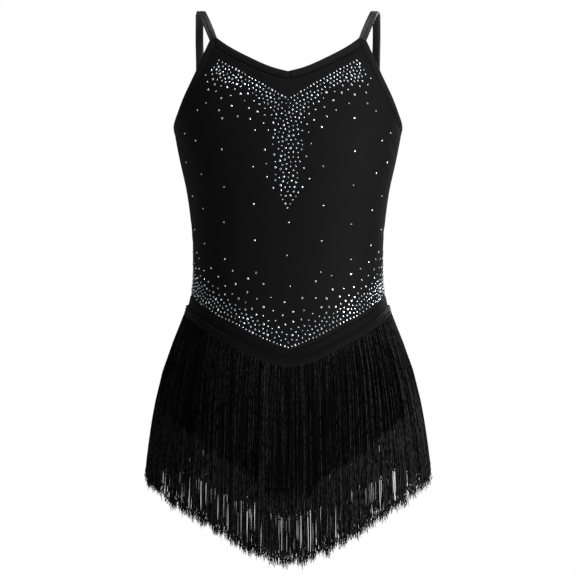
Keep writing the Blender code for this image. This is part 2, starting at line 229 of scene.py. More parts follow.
@dataclass(frozen=True)
class JerseyFinish:
    """Matt black nylon and elastane jersey, circular knitted and brushed: fine wales, no shine."""

    name: str = "black nylon elastane jersey"
    shade: str = "080808"
    worn_shade: str = "0d0d0d"
    roughness: float = 0.72
    # Real wales are about 0.35 mm apart; they are drawn at 1.1 mm, the finest that the view holds
    wale_mm: float = 1.1
    mottle_mm: float = 26.0
    fuzz_mm: float = 0.8

    def material(self) -> bpy.types.Material:
        """Build the material on the piece's own cloth map, which is in metres.

        Returns:
            The material.
        """
        material, tree, shader = new_material(self.name)
        place = cloth_place(tree)
        mottle = noise(tree, place, 1 / (self.mottle_mm * MM), Detail=4.0)
        # The colour carries painted shade in the seams
        tint(tree, shader, (self.shade, self.worn_shade), mottle, paints_seam_shade=True)
        wales = ribs(tree, place, self.wale_mm, Distortion=0.6, Detail=1.0)
        fuzz = noise(tree, place, 1 / (self.fuzz_mm * MM), Detail=3.0)
        relief(tree, shader, raised(tree, fuzz, 0.5, wales), 0.22, 0.12)
        set_shader(shader, Roughness=self.roughness, Specular_IOR_Level=0.06, **SOFT_SHEEN)
        return material


@dataclass(frozen=True)
class BindingFinish:
    """The same jersey cut in strips and folded: it is pulled tighter, so it has a little more sheen, partly
    painted into its paler colour.
    """

    name: str = "folded black jersey binding"
    # Paler than the jersey: painted sheen of the tighter cloth
    shade: str = "0e0e0e"
    worn_shade: str = "151515"
    roughness: float = 0.7
    specular: float = 0.06
    ridge_mm: float = 1.0
    pull_mm: float = 5.0

    def material(self) -> bpy.types.Material:
        """Build the material on the piece's own cloth map.

        Returns:
            The material.
        """
        material, tree, shader = new_material(self.name)
        place = cloth_place(tree)
        pulls = noise(tree, place, 1 / (self.pull_mm * MM), Detail=3.0)
        # The colour carries painted shade in the seams
        tint(tree, shader, (self.shade, self.worn_shade), pulls, paints_seam_shade=True)
        ridges = ribs(tree, place, self.ridge_mm, Distortion=1.5)
        relief(tree, shader, raised(tree, pulls, 1.2, ridges), 0.3, 0.2)
        set_shader(shader, Roughness=self.roughness, Specular_IOR_Level=self.specular, **SOFT_SHEEN)
        return material


@dataclass(frozen=True)
class ChainetteFinish:
    """Black rayon chainette, a fine looped cord: silky, with a painted glint on each turn of the chain."""

    name: str = "black rayon chainette"
    shade: str = "010101"
    pale_shade: str = "2f2f2f"
    # A real chain stitch is about 0.7 mm long; it is drawn at 1.6 mm so that it shows
    chain_mm: float = 1.6
    # Painted glints on runs of turned chain, drawn at about twice their real length
    painted_glint_mm: float = 5.0
    painted_glint_across_mm: float = 1.1

    def material(self) -> bpy.types.Material:
        """Build the material on object height and each strand's own tone, with painted glints.

        Returns:
            The material.
        """
        material, tree, shader = new_material(self.name)
        tone = add_node(tree, "ShaderNodeAttribute", attribute_name="tone").outputs["Fac"]
        place = object_place(tree)
        across = 1 / (self.painted_glint_across_mm * MM)
        runs = add_node(tree, "ShaderNodeMapping", {"Scale": (across, across, 1 / (self.painted_glint_mm * MM))},
                        {"Vector": place})
        # Painted highlight: a stretched noise that lightens the colour as glints
        painted_glint = noise(tree, runs.outputs[0], 1.0, Detail=1.0)
        spread = add_node(tree, "ShaderNodeMapRange", {1: 0.36, 2: 0.68, 3: 0.02, 4: 2.6}, {0: painted_glint})
        tone_with_painted_glint = add_node(tree, "ShaderNodeMath", {}, {0: tone, 1: spread.outputs[0]},
                       operation="MULTIPLY", use_clamp=True)
        tint(tree, shader, (self.shade, self.pale_shade), tone_with_painted_glint.outputs[0])
        relief(tree, shader, ribs(tree, place, self.chain_mm, "Z", Distortion=0.4), 0.35, 0.25)
        set_shader(shader, Roughness=0.5, Specular_IOR_Level=0.02)
        return material


@dataclass(frozen=True)
class TapeFinish:
    """Woven rayon fringe heading: warp threads along it, crossed by the looped fringe threads."""

    name: str = "black woven fringe heading"
    shade: str = "060606"
    pale_shade: str = "101010"
    weft_mm: float = 1.3
    warp_mm: float = 2.1

    def material(self) -> bpy.types.Material:
        """Build the material on the tape's own cloth map.

        Returns:
            The material.
        """
        material, tree, shader = new_material(self.name)
        place = cloth_place(tree)
        weft = ribs(tree, place, self.weft_mm, Distortion=1.0)
        warp = ribs(tree, place, self.warp_mm, "Y", Distortion=0.5)
        tint(tree, shader, (self.shade, self.pale_shade), weft)
        relief(tree, shader, raised(tree, weft, 1.0, warp), 0.5, 0.3)
        set_shader(shader, Roughness=0.6, Specular_IOR_Level=0.04)
        return material


@dataclass(frozen=True)
class StoneFinish:
    """Foil-backed crystal glass: bright mirror behind a clear faceted dome."""

    name: str = "foil backed glass rhinestone"
    shade: str = "f4f6fa"
    dim_shade: str = "74777e"

    def material(self) -> bpy.types.Material:
        """Build the material with a change of brightness from stone to stone, partly random and partly
        painted light by place.

        Returns:
            The material.
        """
        material, tree, shader = new_material(self.name)
        tone = add_node(tree, "ShaderNodeAttribute", attribute_name="tone")
        tint(tree, shader, (self.dim_shade, self.shade), tone.outputs["Fac"])
        set_shader(shader, Roughness=0.12, Metallic=0.85, IOR=1.58, Coat_Weight=0.6, Coat_Roughness=0.03)
        return material


@dataclass(frozen=True)
class ThreadFinish:
    """Spun black polyester sewing thread: a touch glossier than the cloth it sinks into."""

    name: str = "black polyester thread"
    shade: str = "0a0a0a"
    pale_shade: str = "141414"
    twist_mm: float = 0.5

    def material(self) -> bpy.types.Material:
        """Build the material with the thread's twist on object places.

        Returns:
            The material.
        """
        material, tree, shader = new_material(self.name)
        twist = noise(tree, object_place(tree), 1 / (self.twist_mm * MM))
        tint(tree, shader, (self.shade, self.pale_shade), twist)
        set_shader(shader, Roughness=0.5, Specular_IOR_Level=0.1)
        return material


@dataclass(frozen=True)
class FloorFinish:
    """Pale painted board under the garment."""

    name: str = "pale painted floor"

    def material(self) -> bpy.types.Material:
        """Build the material with a faint unevenness of the paint.

        Returns:
            The material.
        """
        material, tree, shader = new_material(self.name)
        tint(tree, shader, ("ececec", "f6f6f6"), noise(tree, object_place(tree), 2.5))
        set_shader(shader, Roughness=0.8)
        return material


# Reading tables

def read(rows: Sequence[Sequence[float]], key: Array) -> Array:
    """Read a table's columns at keys between its rows, each on a smooth curve through them.

    Args:
        rows: the table, its first column rising.
        key: where to read, any shape.

    Returns:
        The other columns, in a last dimension.
    """
    table = np.asarray(rows, float)
    keys = table[:, 0]
    key = np.clip(np.asarray(key, float), keys[0], keys[-1])
    index = np.clip(np.searchsorted(keys, key, side="right") - 1, 0, len(keys) - 2)
    numbers = np.arange(len(keys))
    before = np.maximum(numbers - 1, 0)
    after = np.minimum(numbers + 1, len(keys) - 1)
    slopes = (table[after, 1:] - table[before, 1:]) / (keys[after] - keys[before])[:, None]
    span = (keys[index + 1] - keys[index])[..., None]
    t = (key - keys[index])[..., None] / span
    start = (2 * t ** 3 - 3 * t ** 2 + 1) * table[index, 1:]
    start = start + (t ** 3 - 2 * t ** 2 + t) * slopes[index] * span
    end = (3 * t ** 2 - 2 * t ** 3) * table[index + 1, 1:] + (t ** 3 - t ** 2) * slopes[index + 1] * span
    return start + end


def smooth(value: Array) -> Array:
    """Ease from 0 to 1."""
    value = np.clip(value, 0, 1)
    return value * value * (3 - 2 * value)


def unit(vectors: Array) -> Array:
    """Vectors of length one."""
    return vectors / np.maximum(np.linalg.norm(vectors, axis=-1, keepdims=True), 1e-12)


def lengths_along(points: Array) -> Array:
    """Length run along a line of points, from its first."""
    steps = np.linalg.norm(np.diff(points, axis=0), axis=1)
    return np.concatenate([[0.0], np.cumsum(steps)])


def at_lengths(points: Array, run: Array, wanted: Array) -> Array:
    """Points at wanted lengths along a line whose own points lie at the lengths of run."""
    return np.stack([np.interp(wanted, run, column) for column in points.T], axis=1)


def half_turn(turn: Array) -> Array:
    """The same turns on the right half, 0 at the front's centre and 180 at the back's."""
    return np.where(turn > 180, 360 - turn, np.abs(turn))


def laid_flat(along: Array, down: Array, shape: tuple[int, ...]) -> Array:
    """A cloth map over a grid, from lengths along it and down it."""
    return np.stack([np.broadcast_to(along, shape), np.broadcast_to(down, shape)], axis=-1)


def evenly(points: Array, count: int) -> Array:
    """Points at even lengths along a line.

    Args:
        points: the line, one point a row.
        count: how many points to return.

    Returns:
        The new points.
    """
    run = lengths_along(points)
    return at_lengths(points, run, np.linspace(0, run[-1], count))


@dataclass
class Figure:
    """The worn garment's form in millimetres, laid out by turn (0 front, 90 side, 180 back) and drop."""

    ring_power: float = 2.25
    leg_top: float = 412
    crotch: float = 500.5
    seat_roundness: float = 2.4
    # Columns: drop, half width, front depth, back depth
    jersey_rings: tuple = (
        (10, 124, 50, 58), (45, 124, 61, 68), (85, 122.5, 73, 75), (123, 119.7, 82, 78),
        (155, 114, 85, 76.5), (190, 106.3, 82, 72.5), (225, 101.7, 77, 69), (262, 99.8, 74, 68),
        (295, 101.2, 76, 73), (330, 111, 80.5, 83), (365, 122, 84.5, 92.5), (395, 130, 86.8, 98),
        (412, 132.5, 87.5, 100))
    bell_rings: tuple = (
        (300, 104.5, 80, 76.5), (330, 115.5, 85.5, 87.5), (365, 128, 91, 98.5), (400, 137.5, 95.5, 105.5),
        (440, 145, 100, 110), (490, 151.3, 104, 114), (580, 157, 108, 117))
    # Columns: turn, then drops of the waist seam, the tape's top and the fringe's tips
    hip_lines: tuple = (
        (0, 355.5, 363.5, 571), (10, 347, 358, 560), (20, 338, 348, 546), (30, 329, 339, 533),
        (50, 316, 324.5, 511), (70, 303, 313.5, 495), (90, 298, 309, 486), (110, 299.5, 310.5, 485.5),
        (130, 305, 315.5, 489), (150, 315, 325, 507), (165, 323.5, 332.5, 525), (180, 330, 338, 543))
    # Columns: drop, half width of the cloth between the legs
    front_leg_line: tuple = (
        (412, 132.5), (422, 121), (443, 90.5), (468, 56.5), (483, 32), (491, 22.5), (500.5, 21))
    back_leg_line: tuple = (
        (412, 132.5), (430, 124), (455, 104), (475, 77), (490, 47), (497, 27), (500.5, 21))

    def ring(self, sizes: Array, turn: Array, drop: Array) -> Array:
        """Place points on rings.

        Args:
            sizes: half width, front depth and back depth of each ring.
            turn: turns in degrees.
            drop: drops below the shoulder.

        Returns:
            Points in millimetres.
        """
        angle = np.radians(turn)
        sine, cosine = np.sin(angle), np.cos(angle)
        power = 2 / self.ring_power
        depth = np.where(cosine >= 0, sizes[..., 1], sizes[..., 2])
        x = sizes[..., 0] * np.sign(sine) * np.abs(sine) ** power
        y = -depth * np.sign(cosine) * np.abs(cosine) ** power
        return np.stack([x, y, -drop + 0 * x], axis=-1)

    def jersey(self, turn: Array, drop: Array) -> Array:
        """Points of the jersey's outer face.

        Args:
            turn: turns in degrees.
            drop: drops in millimetres.

        Returns:
            Points in millimetres.
        """
        turn, drop = np.broadcast_arrays(np.asarray(turn, float), np.asarray(drop, float))
        sizes = read(self.jersey_rings, drop)
        share = np.clip((drop - self.leg_top) / (self.crotch - self.leg_top), 0, 1)
        rounding = (1 - share ** self.seat_roundness) ** (1 / self.seat_roundness)
        sizes = sizes * np.stack([np.ones_like(rounding), rounding, rounding], axis=-1)
        return self.ring(sizes, turn, drop)

    def bell(self, turn: Array, drop: Array) -> Array:
        """Points of the hanging fringe's outer face."""
        turn, drop = np.broadcast_arrays(np.asarray(turn, float), np.asarray(drop, float))
        return self.ring(read(self.bell_rings, drop), turn, drop)

    def outward(self, surface: Surface, turn: Array, drop: Array) -> Array:
        """Unit normals of a surface, away from the body.

        Args:
            surface: the surface.
            turn: turns in degrees.
            drop: drops in millimetres.

        Returns:
            Unit vectors.
        """
        step = 0.2
        round_it = surface(turn + step, drop) - surface(turn - step, drop)
        down_it = surface(turn, drop + step) - surface(turn, drop - step)
        return unit(np.cross(down_it, round_it))

    def at(self, places: Array) -> Array:
        """Points of the jersey at rows of turn and drop."""
        return self.jersey(places[:, 0], places[:, 1])

    def facing(self, places: Array) -> Array:
        """Outward directions of the jersey at rows of turn and drop."""
        return self.outward(self.jersey, places[:, 0], places[:, 1])

    def leg_line(self, side: Side) -> tuple:
        """The table of the cloth's half width between the legs."""
        return self.front_leg_line if side is Side.FRONT else self.back_leg_line

    def leg_reach(self, side: Side, drop: Array, inset: float = 0.0) -> Array:
        """Turns from the centre to the leg's edge at drops, or to a line set in from it."""
        width = np.clip((read(self.leg_line(side), drop)[:, 0] - inset) / self.jersey_rings[-1][1], 0, 1)
        return np.degrees(np.arcsin(width ** (self.ring_power / 2)))

    def lines(self, turn: Array) -> Array:
        """Drops of the waist seam, the tape's top and the tips."""
        return read(self.hip_lines, np.abs(turn))

    def find(self, points: Array) -> Array:
        """Turn and drop of the places on the jersey nearest to points of the right half beside it.

        Args:
            points: points in millimetres.

        Returns:
            Turn and drop, one place a row.
        """
        sizes = read(self.jersey_rings, -points[:, 2])
        depth = np.where(points[:, 1] < 0, sizes[:, 1], sizes[:, 2])
        sine = (np.abs(points[:, 0]) / sizes[:, 0]) ** (self.ring_power / 2)
        cosine = (np.abs(points[:, 1]) / depth) ** (self.ring_power / 2)
        turn = np.degrees(np.arctan2(sine, cosine))
        return np.stack([np.where(points[:, 1] < 0, turn, 180 - turn), -points[:, 2]], axis=1)


@dataclass
class Edges:
    """The garment's finished edges on the right half, and lines set in from them."""

    figure: Figure
    binding_width: float = 7.8
    # Columns: turn, drop
    front_neckline: tuple = ((0, 68.7), (6.7, 63.6), (15.8, 54.1), (26.6, 42.1), (33.5, 33.1))
    armhole: tuple = (
        (38.2, 35.6), (47.6, 65), (57.9, 88), (72.4, 111.5), (90, 123), (108.8, 118.5), (123.1, 107.5),
        (127.6, 100))
    back_neckline: tuple = ((133.5, 100.5), (149.9, 120), (165, 133.5), (180, 139))

    def finished(self, rows: Sequence[Sequence[float]], count: int) -> Array:
        """Places along an edge at even lengths.

        Args:
            rows: the edge's table.
            count: how many places.

        Returns:
            Turn and drop of each place.
        """
        turn = np.linspace(rows[0][0], rows[-1][0], 400)
        drop = read(rows, turn)[:, 0]
        run = lengths_along(self.figure.jersey(turn, drop))
        return at_lengths(np.stack([turn, drop], axis=1), run, np.linspace(0, run[-1], count))

    def across(self, edge: Array) -> Array:
        """Unit vectors from an edge into the cloth, along the surface.

        Args:
            edge: its turns and drops.

        Returns:
            One vector a place.
        """
        points = self.figure.at(edge)
        along = unit(np.gradient(points, axis=0))
        into = unit(np.cross(self.figure.facing(edge), along))
        into *= np.where(into[:, 2:] > 0, -1, 1)
        centre = (edge[:, 0] < 0.01) | (edge[:, 0] > 179.99)
        into[centre, 0] = 0
        return unit(into)

    def set_in(self, edge: Array, width: float) -> Array:
        """An edge moved into the cloth by a width, as turn and drop."""
        points = self.figure.at(edge)
        return self.figure.find(points + self.across(edge) * width)

    def corner(self, neck_end: Array, arm_end: Array, width: float) -> Array:
        """The inner corner of the bindings, square below a strap's base, as turn and drop.

        Args:
            neck_end: the neckline's end.
            arm_end: the armhole's end.
            width: the inset.

        Returns:
            Its turn and drop.
        """
        a, b = self.figure.jersey(*neck_end), self.figure.jersey(*arm_end)
        middle = (a + b) / 2
        place = self.figure.find(middle[None])[0]
        normal = self.figure.outward(self.figure.jersey, place[0], place[1])
        into = unit(np.cross(normal, unit(b - a)))
        into = -into if into[2] > 0 else into
        return self.figure.find((middle + into * width)[None])[0]

    def neckline(self, side: Side) -> tuple:
        """The table of one panel's neckline."""
        return self.front_neckline if side is Side.FRONT else self.back_neckline

    def neck_ends(self) -> tuple[Array, Array]:
        """Where the front and the back neckline meet a strap."""
        return self.finished(self.front_neckline, 70)[-1], self.finished(self.back_neckline, 70)[0]

    def base_corner(self, side: Side, neck: Array, arm: Array, width: float) -> Array:
        """The bindings' inner corner at a strap's front or back base."""
        if side is Side.FRONT:
            return self.corner(neck[-1], arm[0], width)
        return self.corner(neck[0], arm[-1], width)

    def top_line(self, side: Side, width: float) -> Array:
        """The upper edge of a bodice panel's right half, set in by a width, by rising turn.

        Args:
            side: which panel.
            width: the inset.

        Returns:
            Turn and drop, one place a row.
        """
        neck, arm = self.finished(self.neckline(side), 40), self.finished(self.armhole, 80)
        corner = self.base_corner(side, neck, arm, width)
        near, far = (neck, arm) if side is Side.FRONT else (arm, neck)
        near, far = self.set_in(near, width), self.set_in(far, width)
        line = np.concatenate([near[near[:, 0] < corner[0] - 0.5], corner[None],
                               far[far[:, 0] > corner[0] + 0.5]])
        if side is Side.BACK:
            return line
        return line[np.concatenate([[True], np.diff(line[:, 0]) > 0])]


# Meshes

def linked(name: str, mesh: bpy.types.Mesh) -> bpy.types.Object:
    """A mesh as an object of the scene.

    Args:
        name: the piece's name.
        mesh: its mesh.

    Returns:
        The object.
    """
    piece = bpy.data.objects.new(name, mesh)
    bpy.context.scene.collection.objects.link(piece)
    return piece


def set_attribute(mesh: bpy.types.Mesh, label: str, values: Array, kind: str = "FLOAT") -> None:
    """Keep a number, or a vector, for each point of a mesh."""
    attribute = mesh.attributes.new(label, kind, "POINT")
    attribute.data.foreach_set("value" if kind == "FLOAT" else "vector", values.astype(np.float32).ravel())


def mesh_object(name: str, points: Array, faces: Iterable[Sequence[int]], material: bpy.types.Material,
                cloth_map: Array | None = None, smooth_shaded: bool = True,
                seam: Array | None = None) -> bpy.types.Object:
    """Make a linked mesh object from points in millimetres.

    Args:
        name: the object's name.
        points: one point a row.
        faces: corners of each face.
        material: its material.
        cloth_map: place of each point on the flat cloth, in millimetres.
        smooth_shaded: whether its faces are shaded smooth.
        seam: painted shade of each point, darkest in seams, 0 to 1.

    Returns:
        The object.
    """
    mesh = bpy.data.meshes.new(name)
    mesh.from_pydata((points * MM).tolist(), [], [tuple(int(i) for i in face) for face in faces])
    mesh.validate()
    if cloth_map is not None:
        layer = mesh.uv_layers.new(name="cloth")
        corner_points = np.empty(len(mesh.loops), dtype=np.int32)
        mesh.loops.foreach_get("vertex_index", corner_points)
        layer.data.foreach_set("uv", (cloth_map[corner_points] * MM).astype(np.float32).ravel())
    # Painted shade in seams, by which the jersey and binding materials darken their colour
    if seam is not None:
        set_attribute(mesh, "seam", np.clip(seam, 0, 1))
    mesh.materials.append(material)
    mesh.polygons.foreach_set("use_smooth", [smooth_shaded] * len(mesh.polygons))
    mesh.update()
    return linked(name, mesh)


def grid_faces(rows: int, columns: int, start: int = 0, turned: bool = False, ring: bool = False) -> Array:
    """Faces of a grid of points, rows going down and columns to the right as seen from outside.

    Args:
        rows: number of rows.
        columns: number of columns.
        start: index of the first point.
        turned: whether the faces point the other way.
        ring: whether the last column joins the first.

    Returns:
        Corner indices, four a row.
    """
    r, c = np.meshgrid(np.arange(rows - 1), np.arange(columns if ring else columns - 1), indexing="ij")
    right = (c + 1) % columns
    quads = np.stack([r * columns + c, (r + 1) * columns + c, (r + 1) * columns + right,
                      r * columns + right], axis=-1).reshape(-1, 4) + start
    return quads[:, ::-1] if turned else quads


def wall_mesh(name: str, outer: Array, inner: Array, cloth_map: Array, material: bpy.types.Material,
              seam: Array | None = None) -> bpy.types.Object:
    """A closed thin shell between an outer and an inner grid of points.

    Args:
        name: the object's name.
        outer: rows, columns, xyz.
        inner: the same.
        cloth_map: rows, columns, uv in millimetres.
        material: its material.
        seam: rows, columns, painted shade of the outer face in seams.

    Returns:
        The object.
    """
    rows, columns = outer.shape[:2]
    count = rows * columns
    index = np.arange(count).reshape(rows, columns)
    border = np.concatenate([index[0, :], index[1:, -1], index[-1, -2::-1], index[-2:0:-1, 0]])
    following = np.roll(border, -1)
    rim = np.stack([border, following, following + count, border + count], axis=1)
    faces = np.concatenate([grid_faces(rows, columns), grid_faces(rows, columns, count, True), rim])
    points = np.concatenate([outer.reshape(-1, 3), inner.reshape(-1, 3)])
    flat = np.concatenate([cloth_map.reshape(-1, 2)] * 2)
    depth = None if seam is None else np.concatenate([seam.ravel(), np.zeros(count)])
    return mesh_object(name, points, faces, material, flat, seam=depth)


def swept(name: str, sections: Array, cloth_map: Array, material: bpy.types.Material,
          seam: Array | None = None) -> bpy.types.Object:
    """A closed band through sections, each a ring of points, with its ends filled.

    Args:
        name: the object's name.
        sections: stations, points of the ring, xyz; a ring runs clockwise as seen from the start.
        cloth_map: stations, points, uv.
        material: its material.
        seam: stations, points, painted shade in seams.

    Returns:
        The object.
    """
    stations, around = sections.shape[:2]
    faces = [tuple(face) for face in grid_faces(stations, around, ring=True)]
    faces.append(tuple(range(around)))
    faces.append(tuple(range((stations - 1) * around, stations * around))[::-1])
    piece = mesh_object(name, sections.reshape(-1, 3), faces, material, cloth_map.reshape(-1, 2),
                        seam=None if seam is None else seam.ravel())
    shape = bmesh.new()
    shape.from_mesh(piece.data)
    bmesh.ops.recalc_face_normals(shape, faces=shape.faces)
    shape.to_mesh(piece.data)
    shape.free()
    return piece


def cloth_area(points: Array) -> float:
    """Area of a grid of points in square metres.

    Args:
        points: points in millimetres.

    Returns:
        The area.
    """
    a = points[1:, :-1] - points[:-1, :-1]
    b = points[:-1, 1:] - points[:-1, :-1]
    return float(np.linalg.norm(np.cross(a, b), axis=-1).sum()) * MM * MM


# Geometry node trees

@dataclass
class NodeTree:
    """A geometry node tree with named inputs, run once and turned into a plain mesh."""

    name: str
    inputs: dict[str, tuple[str, Any]]
    tree: bpy.types.NodeTree = field(init=False)
    source: bpy.types.Node = field(init=False)

    def __post_init__(self) -> None:
        """Make the tree with its interface."""
        self.tree = bpy.data.node_groups.new(self.name, "GeometryNodeTree")
        face = self.tree.interface
        face.new_socket("Geometry", in_out="INPUT", socket_type="NodeSocketGeometry")
        for label, (kind, _) in self.inputs.items():
            face.new_socket(label, in_out="INPUT", socket_type=kind)
        face.new_socket("Geometry", in_out="OUTPUT", socket_type="NodeSocketGeometry")
        self.source = self.tree.nodes.new("NodeGroupInput")

    def finish(self, geometry: bpy.types.NodeSocket) -> None:
        """End the tree in real geometry with the material set.

        Args:
            geometry: what the tree has made.
        """
        real = add_node(self.tree, "GeometryNodeRealizeInstances", links={"Geometry": geometry})
        dressed = add_node(self.tree, "GeometryNodeSetMaterial",
                           links={"Geometry": real.outputs[0], "Material": self.source.outputs["Material"]})
        add_node(self.tree, "NodeGroupOutput", links={"Geometry": dressed.outputs[0]})

    def run(self, carrier: bpy.types.Object, piece_name: str, smooth_shaded: bool) -> bpy.types.Object:
        """Run the tree on a carrier object and keep the result as a plain mesh.

        Args:
            carrier: the object that holds the points or wires; it is removed.
            piece_name: name of the finished piece.
            smooth_shaded: whether its faces are shaded smooth.

        Returns:
            The finished piece.
        """
        modifier = carrier.modifiers.new(self.name, "NODES")
        modifier.node_group = self.tree
        for item in self.tree.interface.items_tree:
            if item.in_out == "INPUT" and item.name in self.inputs:
                modifier[item.identifier] = self.inputs[item.name][1]
        bpy.context.view_layer.update()
        seen = carrier.evaluated_get(bpy.context.evaluated_depsgraph_get())
        mesh = bpy.data.meshes.new_from_object(seen)
        mesh.name = piece_name
        mesh.polygons.foreach_set("use_smooth", [smooth_shaded] * len(mesh.polygons))
        bpy.data.objects.remove(carrier, do_unlink=True)
        return linked(piece_name, mesh)


def scatter_tree(pattern: bpy.types.Object, material: bpy.types.Material) -> NodeTree:
    """A tree that sets one small shape on each point, by its own direction, face and size.

    Args:
        pattern: the shape, its length along X and its face towards Z.
        material: the material of the result.

    Returns:
        The tree.
    """
    nodes = NodeTree("scatter", {"Pattern": ("NodeSocketObject", pattern),
                                 "Material": ("NodeSocketMaterial", material)})
    tree = nodes.tree
    shape = add_node(tree, "GeometryNodeObjectInfo", links={"Object": nodes.source.outputs["Pattern"]})
    points = add_node(tree, "GeometryNodeMeshToPoints", links={"Mesh": nodes.source.outputs["Geometry"]})
    named = {}
    for label in ("along", "face", "size"):
        named[label] = add_node(tree, "GeometryNodeInputNamedAttribute", {"Name": label},
                                data_type="FLOAT_VECTOR").outputs["Attribute"]
    first = add_node(tree, "FunctionNodeAlignRotationToVector", links={"Vector": named["along"]}, axis="X")
    second = add_node(tree, "FunctionNodeAlignRotationToVector",
                      links={"Rotation": first.outputs[0], "Vector": named["face"]},
                      axis="Z", pivot_axis="X")
    placed = add_node(tree, "GeometryNodeInstanceOnPoints",
                      links={"Points": points.outputs[0], "Instance": shape.outputs["Geometry"],
                             "Rotation": second.outputs[0], "Scale": named["size"]})
    nodes.finish(placed.outputs[0])
    return nodes


def scatter(name: str, pattern: bpy.types.Object, material: bpy.types.Material, places: Array, along: Array,
            face: Array, size: Array, tone: Array, smooth_shaded: bool) -> bpy.types.Object:
    """Set a small shape on many points and keep the result as one mesh.

    Args:
        name: the finished piece's name.
        pattern: the shape, which is removed.
        material: its material.
        places: points in millimetres.
        along: direction of each shape's length.
        face: direction that each shape's face looks in.
        size: scale of each shape along its three axes.
        tone: brightness of each shape, 0 to 1.
        smooth_shaded: whether its faces are shaded smooth.

    Returns:
        The finished piece.
    """
    carrier = mesh_object(name + "_points", places, [], material)
    for label, values in (("along", along), ("face", face), ("size", size)):
        set_attribute(carrier.data, label, values, "FLOAT_VECTOR")
    set_attribute(carrier.data, "tone", tone)
    piece = scatter_tree(pattern, material).run(carrier, name, smooth_shaded)
    bpy.data.objects.remove(pattern, do_unlink=True)
    return piece


def wire_tree(sides: int, material: bpy.types.Material) -> NodeTree:
    """A tree that gives wires a round section of their own radius.

    Args:
        sides: sides of the section.
        material: the material of the result.

    Returns:
        The tree.
    """
    nodes = NodeTree("cords from wires", {"Sides": ("NodeSocketInt", sides),
                                          "Material": ("NodeSocketMaterial", material)})
    tree = nodes.tree
    radius = add_node(tree, "GeometryNodeInputNamedAttribute", {"Name": "radius"}, data_type="FLOAT")
    curves = add_node(tree, "GeometryNodeMeshToCurve", links={"Mesh": nodes.source.outputs["Geometry"]})
    section = add_node(tree, "GeometryNodeCurvePrimitiveCircle", {"Radius": 1.0},
                       {"Resolution": nodes.source.outputs["Sides"]})
    tubes = add_node(tree, "GeometryNodeCurveToMesh", {"Fill Caps": True},
                     {"Curve": curves.outputs[0], "Profile Curve": section.outputs[0],
                      "Scale": radius.outputs["Attribute"]})
    nodes.finish(tubes.outputs[0])
    return nodes


def cords(name: str, lines: Array, radius: Array, tone: Array, sides: int,
          material: bpy.types.Material) -> bpy.types.Object:
    """Make many fine cords as one mesh.

    Args:
        name: the piece's name.
        lines: cords, points of each, xyz in millimetres.
        radius: radius at each point, in millimetres.
        tone: brightness at each point, 0 to 1.
        sides: sides of a cord's section.
        material: its material.

    Returns:
        The piece.
    """
    count, steps = lines.shape[:2]
    mesh = bpy.data.meshes.new(name + "_wires")
    first = (np.arange(count) * steps)[:, None] + np.arange(steps - 1)[None]
    wires = np.stack([first, first + 1], axis=-1).reshape(-1, 2)
    mesh.from_pydata((lines.reshape(-1, 3) * MM).tolist(), wires.tolist(), [])
    for label, values in (("radius", radius * MM), ("tone", tone)):
        set_attribute(mesh, label, values)
    return wire_tree(sides, material).run(linked(name + "_wires", mesh), name, True)


# Small shapes

def ringed_shape(name: str, rings: Sequence[Sequence[tuple[float, float, float]]]) -> bpy.types.Object:
    """A small closed shape through rings of as many points each, with its ends filled.

    Args:
        name: the piece's name.
        rings: its points, ring by ring.

    Returns:
        The shape.
    """
    shape = bmesh.new()
    loops = [[shape.verts.new(point) for point in ring] for ring in rings]
    for one, other in zip(loops, loops[1:]):
        for i, j in zip(range(len(one)), [*range(1, len(one)), 0]):
            shape.faces.new((one[i], one[j], other[j], other[i]))
    for end in (loops[-1], loops[0]):
        shape.faces.new(end)
    bmesh.ops.recalc_face_normals(shape, faces=shape.faces)
    mesh = bpy.data.meshes.new(name)
    shape.to_mesh(mesh)
    shape.free()
    return linked(name, mesh)


def stone_shape() -> bpy.types.Object:
    """A flat-backed stone of unit diameter: eight lower facets, eight upper facets and a table.

    Returns:
        The stone.
    """
    rings = []
    for radius, height, turn in ((0.5, 0.0, 0.0), (0.47, 0.1, 0.0), (0.36, 0.24, 0.5), (0.2, 0.31, 0.0)):
        angles = (np.arange(8) + turn) * math.tau / 8
        rings.append([(radius * math.cos(a), radius * math.sin(a), height) for a in angles])
    return ringed_shape("stone_shape", rings)


def stitch_shape() -> bpy.types.Object:
    """A stitch of unit length, a spindle with five sides."""
    angles = np.arange(5) * math.tau / 5
    return ringed_shape("stitch_shape", [
        [(x, 0.5 * radius * math.cos(a), 0.5 * radius * math.sin(a)) for a in angles]
        for x, radius in ((-0.5, 0.25), (-0.3, 0.85), (0.3, 0.85), (0.5, 0.25))])


@dataclass
class Crease:
    """A soft trough or ridge in the jersey, in degrees and millimetres."""

    turn: float
    drop: float
    reach: float
    width: float
    depth: float
    slant: float

    def press(self, turn: Array, drop: Array, radius: Array) -> Array:
        """How far it moves the cloth in at places.

        Args:
            turn: turns of the places.
            drop: drops of the places.
            radius: distance of the places from the body's axis.

        Returns:
            Millimetres inwards.
        """
        across = np.radians(turn - self.turn) * radius
        down = drop - self.drop
        slant = math.radians(self.slant)
        along = across * math.cos(slant) + down * math.sin(slant)
        aside = down * math.cos(slant) - across * math.sin(slant)
        aside = aside + 0.0009 * along ** 2
        return self.depth * np.exp(-(aside / self.width) ** 2) * np.exp(-(along / self.reach) ** 4)


